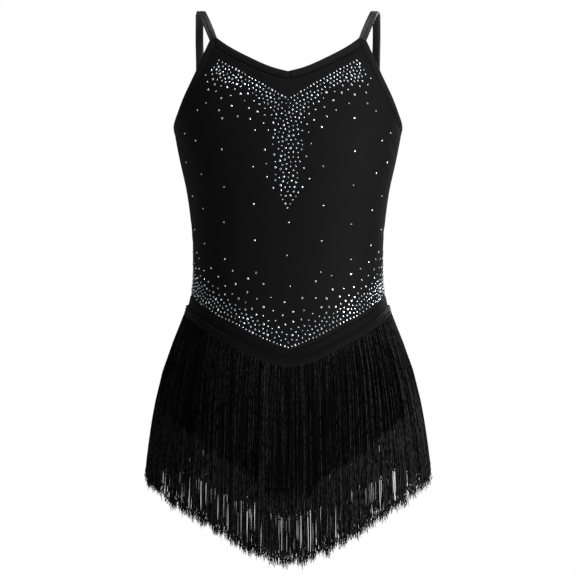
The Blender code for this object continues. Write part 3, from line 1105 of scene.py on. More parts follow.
@dataclass
class JerseyPanels:
    """The four jersey panels, thin shells with the seams drawn in."""

    figure: Figure
    edges: Edges
    thickness: float = 1.0
    tuck: float = 2.0
    waist_tuck: float = 2.5
    seam_pinch: float = 0.55
    seam_reach: float = 1.6
    rows: int = 96
    columns: int = 72
    leg_rows: int = 44
    band_lift: float = 0.4
    # Rows of the grid below the binding and above the brief, in millimetres from the seam
    top_steps: tuple = (0.0, 0.8, 1.4, 1.8, 2.2, 2.7, 3.2, 4.0, 5.2)
    waist_steps: tuple = (3.0, 1.9, 1.3, 0.8, 0.3, -0.4)
    groove_depth: float = 0.8
    groove_width: float = 0.8
    waist_groove: float = 0.4
    # How much flatter the armholes' groove is than the neck's
    arm_flattening: float = 0.65
    # Darkness painted into the colour as shade: in the groove under the bindings, along the waist seam, at
    # the brief's folded edge and along the side seams
    groove_shade: float = 0.65
    waist_shade: float = 0.35
    edge_shade: float = 0.3
    side_shade: float = 0.5
    front_creases: tuple[Crease, ...] = (
        Crease(70, 146, 16, 4.0, 0.5, 28), Crease(66, 158, 20, 5.0, 0.45, 20),
        Crease(84, 232, 20, 6.0, 0.6, 4), Crease(80, 248, 22, 6.0, 0.45, -6),
        Crease(-72, 148, 15, 4.0, 0.5, -26), Crease(-67, 163, 20, 5.0, 0.4, -18),
        Crease(-83, 228, 18, 6.0, 0.5, -5), Crease(-82, 246, 24, 6.0, 0.55, 7))
    back_creases: tuple[Crease, ...] = (
        Crease(168, 232, 46, 7.0, 1.1, 3), Crease(190, 248, 52, 7.0, 1.2, -4),
        Crease(176, 264, 44, 6.5, 0.9, 2), Crease(112, 152, 20, 5.0, 0.7, -24),
        Crease(248, 154, 20, 5.0, 0.7, 24), Crease(104, 238, 26, 6.0, 0.8, 6),
        Crease(258, 240, 24, 6.0, 0.8, -8))

    def pressed(self, turn: Array, drop: Array, creases: Sequence[Crease]) -> Array:
        """How far creases move the cloth in at places, in millimetres.

        Args:
            turn: turns in degrees.
            drop: drops in millimetres.
            creases: the creases.

        Returns:
            Millimetres inwards.
        """
        base = self.figure.jersey(turn, drop)
        radius = np.hypot(base[..., 0], base[..., 1])
        return sum((crease.press(turn, drop, radius) for crease in creases), np.zeros(radius.shape))

    def shell(self, name: str, turn: Array, drop: Array, lift: Array, seam: Array,
              creases: Sequence[Crease], material: bpy.types.Material) -> tuple[bpy.types.Object, float]:
        """Make a thin shell over a grid of places.

        Args:
            name: the piece's name.
            turn: turns of the grid.
            drop: drops of the grid.
            lift: extra height of the cloth, in millimetres.
            seam: painted shade in seams.
            creases: creases pressed into it.
            material: its material.

        Returns:
            The piece and its area in square metres.
        """
        base = self.figure.jersey(turn, drop)
        normal = self.figure.outward(self.figure.jersey, turn, drop)
        radius = np.hypot(base[..., 0], base[..., 1])
        press = self.pressed(turn, drop, creases)
        off_side = np.minimum(np.abs(np.abs(turn) - 90), np.abs(turn - 270)) * math.pi / 180 * radius
        pinch = self.seam_pinch * np.exp(-(off_side / self.seam_reach) ** 2)
        outer = base + normal * (lift - press - pinch)[..., None]
        inner = outer - normal * self.thickness
        flat = np.stack([np.radians(turn) * radius.mean(axis=0, keepdims=True), -drop], axis=-1)
        # Painted shade along the side seams, on top of the shade passed in
        depth = np.maximum(seam, self.side_shade * np.exp(-(off_side / self.groove_width) ** 2))
        return wall_mesh(name, outer, inner, flat, material, depth), cloth_area(outer)

    def steepness(self, turn: Array, drop: Array) -> Array:
        """Height of cloth along a column for each millimetre square across a line of places."""
        run = lengths_along(self.figure.jersey(turn, np.full_like(turn, drop.mean())))
        return np.clip(np.hypot(1, np.gradient(drop, run)), 1, 2.5)

    def panel_turns(self, side: Side) -> Array:
        """Turns of a panel's columns from side seam to side seam, closer together at the seams.

        Args:
            side: which panel.

        Returns:
            Turns in degrees.
        """
        spread = np.linspace(-1, 1, 2 * self.columns + 1)
        eased = spread + 0.06 * np.sin(spread * math.pi)
        return side.value + 90 * eased

    def bodice(self, name: str, side: Side, material: bpy.types.Material) -> tuple[bpy.types.Object, float]:
        """A bodice panel from under its bindings to under the brief's edge.

        Args:
            name: the piece's name.
            side: which panel.
            material: its material.

        Returns:
            The piece and its area in square metres.
        """
        line = self.edges.top_line(side, self.edges.binding_width - self.tuck)
        turn = self.panel_turns(side)
        folded = half_turn(turn)
        top = np.interp(folded, line[:, 0], line[:, 1])
        waist = self.figure.lines(folded)[:, 0]
        steep, low_steep = self.steepness(turn, top), self.steepness(turn, waist)
        first = top + steep * np.array(self.top_steps)[:, None]
        last = waist - low_steep * np.array(self.waist_steps)[:, None]
        share = np.linspace(0, 1, self.rows)[1:-1, None]
        drop = np.concatenate([first, first[-1] + (last[0] - first[-1]) * share, last,
                               waist[None] + self.waist_tuck])
        turns = np.broadcast_to(turn, drop.shape)
        creases = self.front_creases if side is Side.FRONT else self.back_creases
        from_seam = (drop - top) / steep - self.tuck
        from_waist = (waist - drop) / low_steep
        # The armholes' seams are pulled flat by the arms; the neck's keeps its groove
        corner = line[np.argmin(line[:, 1]), 0]
        pull = smooth((np.abs(folded - side.value) - abs(corner - side.value)) / 5 + 0.5)
        groove = (1 - self.arm_flattening * pull) * np.exp(-((from_seam - 0.2) / self.groove_width) ** 2)
        lift = -self.groove_depth * groove - self.waist_groove * np.exp(-from_waist ** 2)
        # Painted shade in the groove under the binding and along the waist seam
        seam = self.groove_shade * groove + self.waist_shade * np.exp(-((from_waist - 0.3) / 0.7) ** 2)
        return self.shell(name, turns, drop, lift, seam, creases, material)

    def brief(self, name: str, side: Side, material: bpy.types.Material) -> tuple[bpy.types.Object, float]:
        """A brief panel from its folded waist edge to the crotch seam.

        Args:
            name: the piece's name.
            side: which panel.
            material: its material.

        Returns:
            The piece and its area in square metres.
        """
        turn = self.panel_turns(side)
        folded = half_turn(turn)
        seam = self.figure.lines(folded)[:, 0]
        share = np.linspace(0, 1, self.leg_rows)[:, None] ** 1.3
        upper = seam + (self.figure.leg_top - seam) * share
        angle = np.linspace(0, math.pi / 2, self.leg_rows)[1:, None]
        drop_share = np.sin(angle) ** (2 / self.figure.seat_roundness)
        lower = self.figure.leg_top + (self.figure.crotch - self.figure.leg_top) * drop_share
        reach = self.figure.leg_reach(side, lower[:, 0])[:, None]
        lower_turn = side.value + (turn - side.value)[None] / 90 * reach
        turns = np.concatenate([np.broadcast_to(turn, upper.shape), lower_turn])
        drops = np.concatenate([upper, np.broadcast_to(lower, lower_turn.shape)])
        from_seam = drops - np.concatenate([np.broadcast_to(seam, upper.shape), np.full_like(lower_turn, 0)])
        lift = self.band_lift * np.exp(-(from_seam / 9.0) ** 2)
        groove = np.exp(-(from_seam / self.groove_width) ** 2)
        lift -= self.groove_depth * groove
        # Painted shade along the brief's folded edge
        seam = self.edge_shade * groove
        return self.shell(name, turns, drops, lift, seam, (), material)


@dataclass
class Bindings:
    """The folded bindings round the neck and armholes, and the straps."""

    figure: Figure
    edges: Edges
    mid_wall: float = 0.7
    join_depth: float = 0.8
    # Columns: distance from the finished edge, height over the jersey's middle
    profile: tuple = (
        (0.0, 0.0), (0.25, 0.75), (1.0, 1.2), (3.0, 1.3), (4.9, 1.15), (5.7, 0.75), (6.2, 0.72), (6.9, 0.98),
        (7.6, 0.85), (7.95, 0.45), (7.7, -0.7), (4.5, -1.15), (1.2, -1.1), (0.3, -0.6))
    # Columns: distance from the finished edge, width and darkness of each shadow along a binding
    shadows: tuple = ((8.0, 0.45, 0.8), (5.95, 0.5, 0.45))
    join_shade: float = 0.85
    # How far from the corner a seam bends to meet it
    corner_bend: float = 14.0
    # A strap's section: shares of its half width to the side and of its thickness outwards
    strap_section: tuple = (
        (-1.0, -0.5), (-0.94, -0.12), (-0.72, 0.0), (-0.3, 0.02), (0.25, 0.0), (0.42, -0.16),
        (0.55, -0.02), (0.8, -0.02), (0.95, -0.14), (1.0, -0.5), (0.9, -0.9), (0.6, -1.0),
        (-0.6, -1.0), (-0.92, -0.88))
    # Columns: station, across, depth, drop of a strap's outer face
    strap_course: tuple = (
        (1, 82.2, -38.5, 20.8), (2, 88.2, -20, 6.3), (3, 91.8, 2, 0), (4, 93.5, 21, 7),
        (5, 94.3, 36, 26.5), (6, 94.2, 44, 58))
    strap_thickness: float = 2.2
    # A place under the strap's arch, which its outer face looks away from
    strap_centre: tuple = (88.0, 0, -60)

    def band(self, name: str, finished: Array, seam: Array, joins: Sequence[float],
             material: bpy.types.Material) -> bpy.types.Object:
        """Sweep the folded profile between a finished edge and its seam.

        Args:
            name: the piece's name.
            finished: places along the finished edge.
            seam: places along the seam, one for each.
            joins: distances along the edge of the joins sewn across it.
            material: its material.

        Returns:
            The piece.
        """
        upper = self.figure.at(finished)
        lower = self.figure.at(seam)
        normal = self.figure.facing(finished)
        normal_low = self.figure.facing(seam)
        run = lengths_along(upper)
        pinch = sum((np.exp(-((run - join) / 0.6) ** 2) for join in joins), np.zeros_like(run))
        share = np.array([row[0] for row in self.profile]) / self.edges.binding_width
        proud = np.array([row[1] for row in self.profile])
        base = upper[:, None] + (lower - upper)[:, None] * share[None, :, None]
        face = unit(normal[:, None] + (normal_low - normal)[:, None] * np.clip(share, 0, 1)[None, :, None])
        height = proud[None] - self.mid_wall - self.join_depth * pinch[:, None] * (proud[None] > 0)
        sections = base + face * height[..., None]
        width = share * self.edges.binding_width
        flat = laid_flat(run[:, None], width, height.shape)
        # Painted shade in the seam line and the stitched furrow, and across the join
        depth = sum(dark * np.exp(-((width - middle) / reach) ** 2) for middle, reach, dark in self.shadows)
        depth = np.maximum(depth[None], self.join_shade * (pinch > 0.35)[:, None]) * (proud[None] > 0)
        return swept(name, sections, flat, material, depth)

    def neck(self, name: str, side: Side, material: bpy.types.Material) -> bpy.types.Object:
        """The binding of a neckline, from one strap corner to the other.

        Args:
            name: the piece's name.
            side: which panel.
            material: its material.

        Returns:
            The piece.
        """
        width, front = self.edges.binding_width, side is Side.FRONT
        half = self.edges.finished(self.edges.neckline(side), 170)
        arm = self.edges.finished(self.edges.armhole, 80)
        corner = self.edges.base_corner(side, half, arm, width)
        seam = self.bend_to(half, self.edges.set_in(half, width), corner, -1 if front else 0)
        finished, seam = self.both_halves(half, side), self.both_halves(seam, side)
        run = lengths_along(self.figure.at(finished))
        # The front's join lies 1 mm beside the centre
        return self.band(name, finished, seam, (run[-1] / 2 + 1.0,) if front else (), material)

    def both_halves(self, line: Array, side: Side) -> Array:
        """A line of the right half carried on over the left."""
        if side is Side.FRONT:
            return np.concatenate([line[:0:-1] * (-1, 1), line])
        return np.concatenate([line, np.stack([360 - line[-2::-1, 0], line[-2::-1, 1]], axis=1)])

    def bend_to(self, finished: Array, seam: Array, corner: Array, end: int) -> Array:
        """Bend a seam's last centimetre so that it ends at the corner.

        Args:
            finished: places on the finished edge.
            seam: places on the seam.
            corner: where it has to end.
            end: 0 for its first end, -1 for its last.

        Returns:
            The bent seam.
        """
        run = lengths_along(self.figure.at(finished))
        left = run if end == 0 else run[-1] - run
        share = smooth(1 - left / self.corner_bend)[:, None]
        return seam + (corner - seam[end]) * share

    def armhole_places(self) -> tuple[Array, Array]:
        """Finished and seam places of the right armhole binding.

        Returns:
            The edge's places and the seam's.
        """
        finished = self.edges.finished(self.edges.armhole, 150)
        seam = self.edges.set_in(finished, self.edges.binding_width)
        neck_front, neck_back = self.edges.neck_ends()
        front = self.edges.corner(neck_front, finished[0], self.edges.binding_width)
        back = self.edges.corner(neck_back, finished[-1], self.edges.binding_width)
        seam = self.bend_to(finished, seam, front, 0)
        seam = self.bend_to(finished, seam, back, -1)
        steps = np.linspace(0, 1, 6)[:-1, None]
        finished = np.concatenate([np.repeat(finished[:1], 5, axis=0), finished,
                                   np.repeat(finished[-1:], 5, axis=0)])
        seam = np.concatenate([neck_front + (front - neck_front) * steps, seam,
                               back + (neck_back - back) * (steps + 0.2)])
        return finished, seam

    def armhole(self, name: str, mirror: int, material: bpy.types.Material) -> bpy.types.Object:
        """An armhole binding; mirror is 1 on the right and -1 on the left.

        Args:
            name: the piece's name.
            mirror: 1 on the right, -1 on the left.
            material: its material.

        Returns:
            The piece.
        """
        finished, seam = self.armhole_places()
        if mirror < 0:
            finished, seam = finished[::-1] * (-1, 1), seam[::-1] * (-1, 1)
        return self.band(name, finished, seam, (), material)

    def strap_line(self) -> tuple[Array, Array, Array, Array]:
        """Middle, side direction, outward direction and half width along the right strap.

        Returns:
            The four, one row a station.
        """
        neck_front, neck_back = self.edges.neck_ends()
        arm = self.edges.finished(self.edges.armhole, 80)
        ends = [self.figure.jersey(*place) + 0.5 * self.figure.outward(self.figure.jersey, *place)
                for place in (neck_front, arm[0], neck_back, arm[-1])]
        course = [(0, *(ends[0] + ends[1])[:2] / 2, -(ends[0] + ends[1])[2] / 2)]
        course += list(self.strap_course)
        course += [(len(course), *(ends[2] + ends[3])[:2] / 2, -(ends[2] + ends[3])[2] / 2)]
        station = np.linspace(0, course[-1][0], 160)
        middle = read(course, station) * (1, 1, -1)
        share = np.linspace(0, 1, len(station))
        over = (np.sin(math.pi * share) ** 0.5)[:, None]
        front, back = ends[1] - ends[0], ends[3] - ends[2]
        base = np.where(share[:, None] < 0.5, front, back)
        side = unit(unit(base) * (1 - over) + np.array([1.0, 0, 0]) * over)
        along = unit(np.gradient(middle, axis=0))
        pull = 0.1 - 0.22 * smooth((share - 0.35) / 0.3)
        half = np.linalg.norm(base, axis=1) / 2 * (1 + pull * over[:, 0])
        out = unit(np.cross(side, along))
        away = (out * (middle - np.array(self.strap_centre))).sum(axis=1, keepdims=True)
        return middle, side, out * np.where(away < 0, -1, 1), half

    def strap(self, name: str, mirror: int, material: bpy.types.Material) -> bpy.types.Object:
        """A strap over the shoulder; mirror is 1 on the right and -1 on the left.

        Args:
            name: the piece's name.
            mirror: 1 on the right, -1 on the left.
            material: its material.

        Returns:
            The piece.
        """
        middle, side, out, half = self.strap_line()
        sections = np.stack([middle + side * (half[:, None] * a) + out * (self.strap_thickness * b)
                             for a, b in self.strap_section], axis=1)
        run = lengths_along(middle)
        flat = laid_flat(run[:, None], np.arange(len(self.strap_section)) * 1.2, sections.shape[:2])
        if mirror < 0:
            sections = (sections * (-1, 1, 1))[:, ::-1]
        return swept(name, sections, flat, material)


@dataclass
class FringeSkirt:
    """The V of fringe: a woven tape sewn to the brief and the chainette that hangs from it."""

    figure: Figure
    tape_height: float = 8.5
    clearance: float = 0.5
    tape_thickness: float = 1.3
    strands: int = 1900
    sides: int = 3
    radius: float = 0.34
    strand_pitch: float = 0.22
    bell_radius: float = 125.0
    split_length: float = 80.0
    shortest_split: float = 38.0
    # Fewest and most strands that hang together, in large bundles and in the small ones inside
    large_bundle: tuple[int, int] = (15, 46)
    small_bundle: tuple[int, int] = (4, 9)
    root_jitter: float = 0.3
    bundle_raggedness: float = 1.6
    strand_raggedness: float = 2.4
    frizz_length: float = 15.0
    frizz_depth: float = 0.9
    frizz_width: float = 0.75
    # Stretches of a strand and the stations on each, closest where it splits and at the tip
    stations: tuple = ((0, 0.54, 4), (0.54, 0.74, 6), (0.74, 0.88, 3), (0.88, 1, 7))
    # Middle and height of the tape's ribs, as a share of its height and in millimetres
    tape_ribs: tuple = ((0.02, -0.5), (0.12, 0.35), (0.27, -0.35), (0.4, 0.2), (0.55, -0.15))
    root_overlap: float = 1.6
    hang_length: float = 46.0
    tip_overhang: float = 0.8
    # Paleness painted on the strands where no brief hangs behind them, standing in for light let through
    through: float = 0.28
    seed: int = 41

    def tape(self, name: str, side: Side, material: bpy.types.Material) -> bpy.types.Object:
        """A stretch of tape from side seam to side seam, its face a little rounded.

        Args:
            name: the piece's name.
            side: which panel.
            material: its material.

        Returns:
            The piece.
        """
        turn = side.value + np.linspace(-90, 90, 241)
        folded = half_turn(turn)
        top = self.figure.lines(folded)[:, 1]
        share = np.linspace(0, 1, 22)[:, None]
        drop = top + self.tape_height * share
        turns = np.broadcast_to(turn, drop.shape)
        base = self.figure.jersey(turns, drop)
        normal = self.figure.outward(self.figure.jersey, turns, drop)
        crown = self.tape_thickness + sum(
            height * np.exp(-((share - middle) / 0.07) ** 2)
            for middle, height in self.tape_ribs)
        outer = base + normal * (self.clearance + crown)[..., None]
        inner = base + normal * self.clearance * 0.6
        run = lengths_along(base[0])
        flat = laid_flat(run, share * self.tape_height, drop.shape)
        return wall_mesh(name, outer, inner, flat, material)

    def spread(self, side: Side, rng: np.random.Generator) -> Array:
        """Turns of the strands' roots, evenly along the tape with a little jitter.

        Args:
            side: which panel.
            rng: source of random numbers.

        Returns:
            One turn a strand.
        """
        turn = side.value + np.linspace(-90, 90, 1201)
        folded = half_turn(turn)
        run = lengths_along(self.figure.jersey(turn, self.figure.lines(folded)[:, 1]))
        wanted = (np.arange(self.strands) + 0.5) / self.strands * run[-1]
        wanted = np.sort(wanted + rng.normal(0, self.root_jitter, self.strands))
        return np.interp(wanted, run, turn)

    def hung(self, side: Side, turn: Array, drop: Array) -> Array:
        """Turns of the strands' points as they hang: straight down in front, spreading at the sides.

        Args:
            side: which panel.
            turn: turns in degrees.
            drop: drops in millimetres.

        Returns:
            Turns, one row a strand.
        """
        around = turn - side.value
        power = 2 / self.figure.ring_power
        share = (np.sign(around) * np.abs(np.sin(np.radians(around))) ** power)[:, None]
        widths = read(self.figure.bell_rings, drop)[..., 0]
        lean = (0.34 + 0.66 * smooth((np.abs(around) - 25) / 60))[:, None]
        across = share * (widths[:, :1] + (widths - widths[:, :1]) * lean)
        sine = np.clip(np.abs(across / widths), 0, 1) ** (1 / power)
        return side.value + np.sign(around)[:, None] * np.degrees(np.arcsin(sine))

    def bundles(self, smallest: int, largest: int, rng: np.random.Generator) -> tuple[Array, Array]:
        """Number of the bundle that each strand belongs to, and each bundle's count of strands.

        Args:
            smallest: fewest strands.
            largest: most strands.
            rng: source of random numbers.

        Returns:
            The numbers and the counts.
        """
        sizes = rng.integers(smallest, largest + 1, self.strands)
        sizes = sizes[:np.searchsorted(np.cumsum(sizes), self.strands) + 1]
        numbers = np.repeat(np.arange(len(sizes)), sizes)[:self.strands]
        return numbers, np.bincount(numbers)

    def gathered(self, turn: Array, numbers: Array, counts: Array) -> Array:
        """Sideways distance from each strand to its bundle's middle, in millimetres."""
        middle = np.bincount(numbers, turn) / counts
        return np.radians(middle[numbers] - turn) * self.bell_radius

    def cords(self, name: str, side: Side, material: bpy.types.Material) -> bpy.types.Object:
        """The hanging strands of one side of the skirt.

        Args:
            name: the piece's name.
            side: which panel.
            material: its material.

        Returns:
            The piece.
        """
        rng = np.random.default_rng(self.seed + side.value)
        turn = self.spread(side, rng)
        folded = half_turn(turn)
        lines = self.figure.lines(folded)
        start = lines[:, 1] + self.tape_height - self.root_overlap
        large, large_counts = self.bundles(*self.large_bundle, rng)
        small, small_counts = self.bundles(*self.small_bundle, rng)
        hem = lines[:, 2]
        for _ in range(3):
            ends = self.hung(side, turn, np.stack([start, hem], axis=1))[:, 1]
            hem = self.figure.lines(half_turn(ends))[:, 2]
        tip = hem + self.tip_overhang + rng.normal(0, self.bundle_raggedness, len(large_counts))[large]
        tip = tip + rng.normal(0, self.strand_raggedness, self.strands)
        share = np.concatenate([np.linspace(*part)[:-1] for part in self.stations] + [[1.0]])
        drop = start[:, None] + (tip - start)[:, None] * share
        left = tip[:, None] - drop
        split = rng.uniform(self.shortest_split, self.split_length, len(large_counts))[large][:, None]
        loose = smooth((split - left) / 9.0) * (1 - 0.8 * smooth(1 - left / 22.0))
        frizz = smooth(1 - left / self.frizz_length)
        turns = self.hung(side, turn, drop)
        on_tape = self.figure.jersey(turns, drop)
        out_tape = self.figure.outward(self.figure.jersey, turns, np.minimum(drop, self.figure.leg_top))
        layer = rng.choice([0.0, 1.0, 2.0], self.strands)[:, None]
        on_tape = on_tape + out_tape * (self.clearance + 1.0 - 0.3 * layer)[..., None]
        on_bell = self.figure.bell(turns, drop)
        out_bell = self.figure.outward(self.figure.bell, turns, drop)
        swing = rng.normal(0, 0.9, self.strands)[:, None] * share ** 1.5
        depth = -0.6 - 1.9 * layer * share ** 0.5 - 2.0 * share ** 2 + swing
        depth = depth + frizz * rng.normal(0, self.frizz_depth, left.shape)
        on_bell = on_bell + out_bell * depth[..., None]
        hang = smooth((drop - start[:, None]) / self.hang_length)[..., None]
        points = on_tape * (1 - hang) + on_bell * hang
        gap = rng.gamma(3.0, 0.36, len(large_counts))
        # The front's centre hangs closer than the sides, which are pulled apart by the hips
        around = np.abs(turn - side.value)[:, None]
        open_share = 0.35 + 0.95 * smooth((around - 8) / 40) - 0.5 * smooth((around - 55) / 25)
        grip = np.clip(gap / (large_counts * self.strand_pitch), 0, 0.6)[large][:, None]
        shift = self.gathered(turn, large, large_counts)[:, None] * grip * loose * open_share
        shift = shift + rng.normal(0, 0.5, len(large_counts))[large][:, None] * loose * open_share
        pull = (0.62 + 0.26 * share) * smooth(share / 0.15) * (1 - (1 - open_share) * share)
        shift = shift + self.gathered(turn, small, small_counts)[:, None] * pull
        phase = rng.uniform(0, math.tau, (self.strands, 1))
        shift = shift + rng.normal(0, 0.3, (self.strands, 1)) * np.sin(share * math.tau * 1.3 + phase)
        shift = shift + frizz * rng.normal(0, self.frizz_width, left.shape)
        sideways = unit(np.cross(np.array([0.0, 0, 1]), out_bell))
        points = points + sideways * shift[..., None]
        points[..., 2] = -drop
        radius = self.radius * (0.85 + 0.3 * rng.random(self.strands))[:, None] * np.ones_like(drop)
        radius[:, -1] *= 0.45
        tone = rng.beta(0.32, 2.2, self.strands)[:, None] + rng.normal(0, 0.09, drop.shape)
        # Painted light: strands are paler where no brief hangs behind them, standing in for light let
        # through the thin rayon
        covered = read(self.figure.leg_line(side), drop)[..., 0]
        covered = np.where(drop < self.figure.leg_top, 1e3, covered)
        covered = np.where(drop > self.figure.crotch, -10, covered)
        tone = tone + self.through * smooth((np.abs(points[..., 0]) - covered) / 6)
        return cords(name, points, radius, np.clip(tone, 0, 1), self.sides, material)


@dataclass
class Rhinestones:
    """The glued stones: a V below the neckline, a column, a diamond scatter and a V at the waist."""

    figure: Figure
    edges: Edges
    camera_distance: float = 2600.0
    eye_drop: float = 290.85
    small: float = 1.6
    large: float = 2.25
    lone: float = 1.9
    spacing: float = 4.05
    low_spacing: float = 4.7
    # The last turn with stones, short of the side seam
    last_turn: float = 87.5
    end_spacing: float = 3.6
    row_spacing: float = 3.9
    settling_rounds: int = 45
    darts: int = 60000
    # Shares of large stones where they lie close, where they lie loose and in the edge rows
    large_close: float = 0.26
    large_loose: float = 0.45
    large_in_rows: float = 0.16
    # Drops, and how far outside the V scattered stones still lie there
    scatter_reach: tuple = ((60, 90, 122, 132, 178, 190), (25, 35, 24, 10, 9, 0))
    # Distances across at the waist, and there: height of the close band, its highest stones, spacing
    waist_close: tuple = ((0, 60, 100), (15, 19, 20))
    waist_highest: tuple = ((0, 70, 100), (66, 54, 44))
    waist_spacing: tuple = ((0, 60, 100), (4.45, 4.25, 3.8))
    seed: int = 7
    # As seen from the front, from the centre line: across and drop
    upper_edge: tuple = ((0, 91.9), (5.8, 88.2), (23.6, 77.7), (40.4, 68.3), (57.2, 58.8), (72.6, 51))
    lower_edge: tuple = (
        (80.3, 62.6), (77, 72.5), (58.3, 76.7), (43.6, 78.8), (34.1, 90.3), (21.5, 98.7), (14.5, 113),
        (12.5, 120), (16.5, 128.1), (14.5, 150.2), (13, 167), (13.5, 180), (11, 190), (5.5, 199), (0, 209.5))
    waist_edge: tuple = (
        (0, 354.9), (8.9, 351.8), (27.8, 344.4), (43.6, 336), (59.3, 327.6), (73, 321.3), (84.5, 312.9),
        (95, 304.5), (99.2, 298.2), (101, 294))
    # The scattered stones of the right half, across and drop
    diamonds: tuple = (
        (0, 220.9), (0, 257), (36.8, 162.7), (35.7, 202.1), (35, 240.8), (34, 275.6), (70.3, 112.6),
        (70.5, 146.3), (68.5, 184.3), (67, 223), (66, 260.5), (92.8, 104.7), (96.6, 136.2), (92.5, 171.3),
        (89.3, 208), (87, 244.9), (109, 127.6), (105.5, 158.8), (100.2, 194.3), (97, 229.7), (96, 253))

    def seen(self, points: Array) -> Array:
        """Where points show in the front view, at the garment's middle plane."""
        scale = self.camera_distance / (self.camera_distance + points[..., 1])
        return np.stack([points[..., 0] * scale, self.eye_drop - (points[..., 2] + self.eye_drop) * scale],
                        axis=-1)

    def find_seen(self, shown: Array) -> Array:
        """Turn and drop of the places on the front that show at given places of the front view.

        Args:
            shown: across and drop as seen.

        Returns:
            Turn and drop, one place a row.
        """
        real = np.array(shown, float)
        for _ in range(12):
            sizes = read(self.figure.jersey_rings, real[:, 1])
            share = np.clip(np.abs(real[:, 0]) / sizes[:, 0], 0, 0.999)
            turn = np.degrees(np.arcsin(share ** (self.figure.ring_power / 2))) * np.sign(real[:, 0])
            real += shown - self.seen(self.figure.jersey(turn, real[:, 1]))
        return np.stack([turn, real[:, 1]], axis=1)

    def outside_v(self, across: Array, drop: Array) -> Array:
        """How far outside the dense V and column places lie; less than none is inside.

        Args:
            across: distances from the centre as seen.
            drop: drops in millimetres.

        Returns:
            Millimetres as seen.
        """
        start = np.array(self.upper_edge + self.lower_edge, float)
        edge = np.roll(start, -1, axis=0) - start
        place = np.stack([np.abs(across), drop], axis=-1)[:, None]
        share = np.clip(((place - start) * edge).sum(-1) / np.maximum((edge ** 2).sum(-1), 1e-9), 0, 1)
        away = np.linalg.norm(place - (start + edge * share[..., None]), axis=-1)
        away[:, -1] = 1e9
        ends = start + edge
        crosses = (start[:, 1] > place[..., 1]) != (ends[:, 1] > place[..., 1])
        rise = np.where(edge[:, 1] == 0, 1e-9, edge[:, 1])
        crossing = start[:, 0] + (place[..., 1] - start[:, 1]) / rise * edge[:, 0]
        inside = (crosses & (place[..., 0] < crossing)).sum(-1) % 2 == 1
        return np.where(inside, -1, 1) * away.min(-1)

    def wanted_spacing(self, places: Array) -> Array:
        """Distance that stones keep at places given by turn and drop, and none where there are none.

        Args:
            places: their turns and drops.

        Returns:
            Millimetres.
        """
        shown = self.seen(self.figure.at(places))
        across, drop = np.abs(shown[:, 0]), shown[:, 1]
        out = self.outside_v(across, drop)
        upper = np.interp(across, *zip(*self.upper_edge))
        reach = np.interp(drop, *self.scatter_reach)
        loose = self.spacing + 1.0 + 0.3 * out + np.interp(drop, (120, 135), (0, 5))
        spacings = (self.end_spacing, self.spacing, self.spacing, self.low_spacing)
        close = np.interp(drop, (60, 80, 115, 145), spacings)
        bodice = np.where(out <= 0, close, loose)
        above = (drop < upper) | ((across > 74) & (drop < 66))
        bodice = np.where((out > 0) & (above | (out > reach) | (across > 87)), 0, bodice)
        up = np.interp(across, *zip(*self.waist_edge)) - drop
        dense = np.interp(across, *self.waist_close)
        highest = np.interp(across, *self.waist_highest)
        close = np.interp(across, *self.waist_spacing)
        waist = np.where(up < dense, close, close + 0.8 + 0.27 * (up - dense))
        waist = np.where((up < 0) | (up > highest), 0, waist)
        line = self.edges.top_line(Side.FRONT, self.edges.binding_width + 3.0)
        on_cloth = places[:, 1] > np.interp(np.abs(places[:, 0]), line[:, 0], line[:, 1])
        return np.where(on_cloth & (np.abs(places[:, 0]) < self.last_turn), np.maximum(bodice, waist), 0)

    def row_along(self, edge: Sequence[Sequence[float]], inset: float) -> Array:
        """Places in a row along an edge of the front view, both halves.

        Args:
            edge: across and drop of the edge's points.
            inset: how far below or above the edge the row lies.

        Returns:
            Across and drop of each stone.
        """
        line = evenly(np.array(edge, float), 200)
        half = evenly(line, int(lengths_along(line)[-1] / self.row_spacing) + 1) + (0, inset)
        return np.concatenate([half, half[1:] * (-1, 1)])

    def thrown(self, kept: Array, rng: np.random.Generator) -> Array:
        """Add stones at random wherever there is room for one.

        Args:
            kept: stones already there.
            rng: source of random numbers.

        Returns:
            All stones, the kept ones first.
        """
        darts = np.stack([rng.uniform(-88, 88, self.darts), rng.uniform(50, 362, self.darts)], axis=1)
        space = self.wanted_spacing(darts)
        darts, space = darts[space > 0], space[space > 0]
        points = self.figure.at(darts)
        taken = np.full((3000, 3), 1e6)
        taken[:len(kept)] = self.figure.at(kept)
        found, count = list(kept), len(kept)
        for i, point in enumerate(points):
            nearness = 0.8 if space[i] < self.low_spacing + 0.1 else 0.88
            if ((taken[:count] - point) ** 2).sum(axis=1).min() > (space[i] * nearness) ** 2:
                taken[count] = point
                found.append(darts[i])
                count += 1
        return np.array(found)

    def settled(self, places: Array, fixed: int) -> Array:
        """Push crowded stones apart until they lie evenly, but for the first ones, which stay.

        Args:
            places: their turns and drops.
            fixed: how many stay.

        Returns:
            The stones' new places.
        """
        step = 0.05
        for _ in range(self.settling_rounds):
            points = self.figure.at(places)
            space = self.wanted_spacing(places)
            apart = points[:, None] - points[None]
            distance = np.linalg.norm(apart, axis=-1) + np.eye(len(points)) * 1e6
            wanted = 0.53 * (space[:, None] + space[None])
            push = np.clip(1 - distance / wanted, 0, 1) * wanted * 0.32
            force = (apart / distance[..., None] * push[..., None]).sum(axis=1)
            force[:fixed] = 0
            moved = places.copy()
            for axis in (0, 1):
                shifted = places.copy()
                shifted[:, axis] += step
                tangent = (self.figure.at(shifted) - points) / step
                moved[:, axis] += (force * tangent).sum(axis=1) / (tangent ** 2).sum(axis=1)
            stays = self.wanted_spacing(moved) > 0
            places = np.where(stays[:, None], moved, places)
        return places

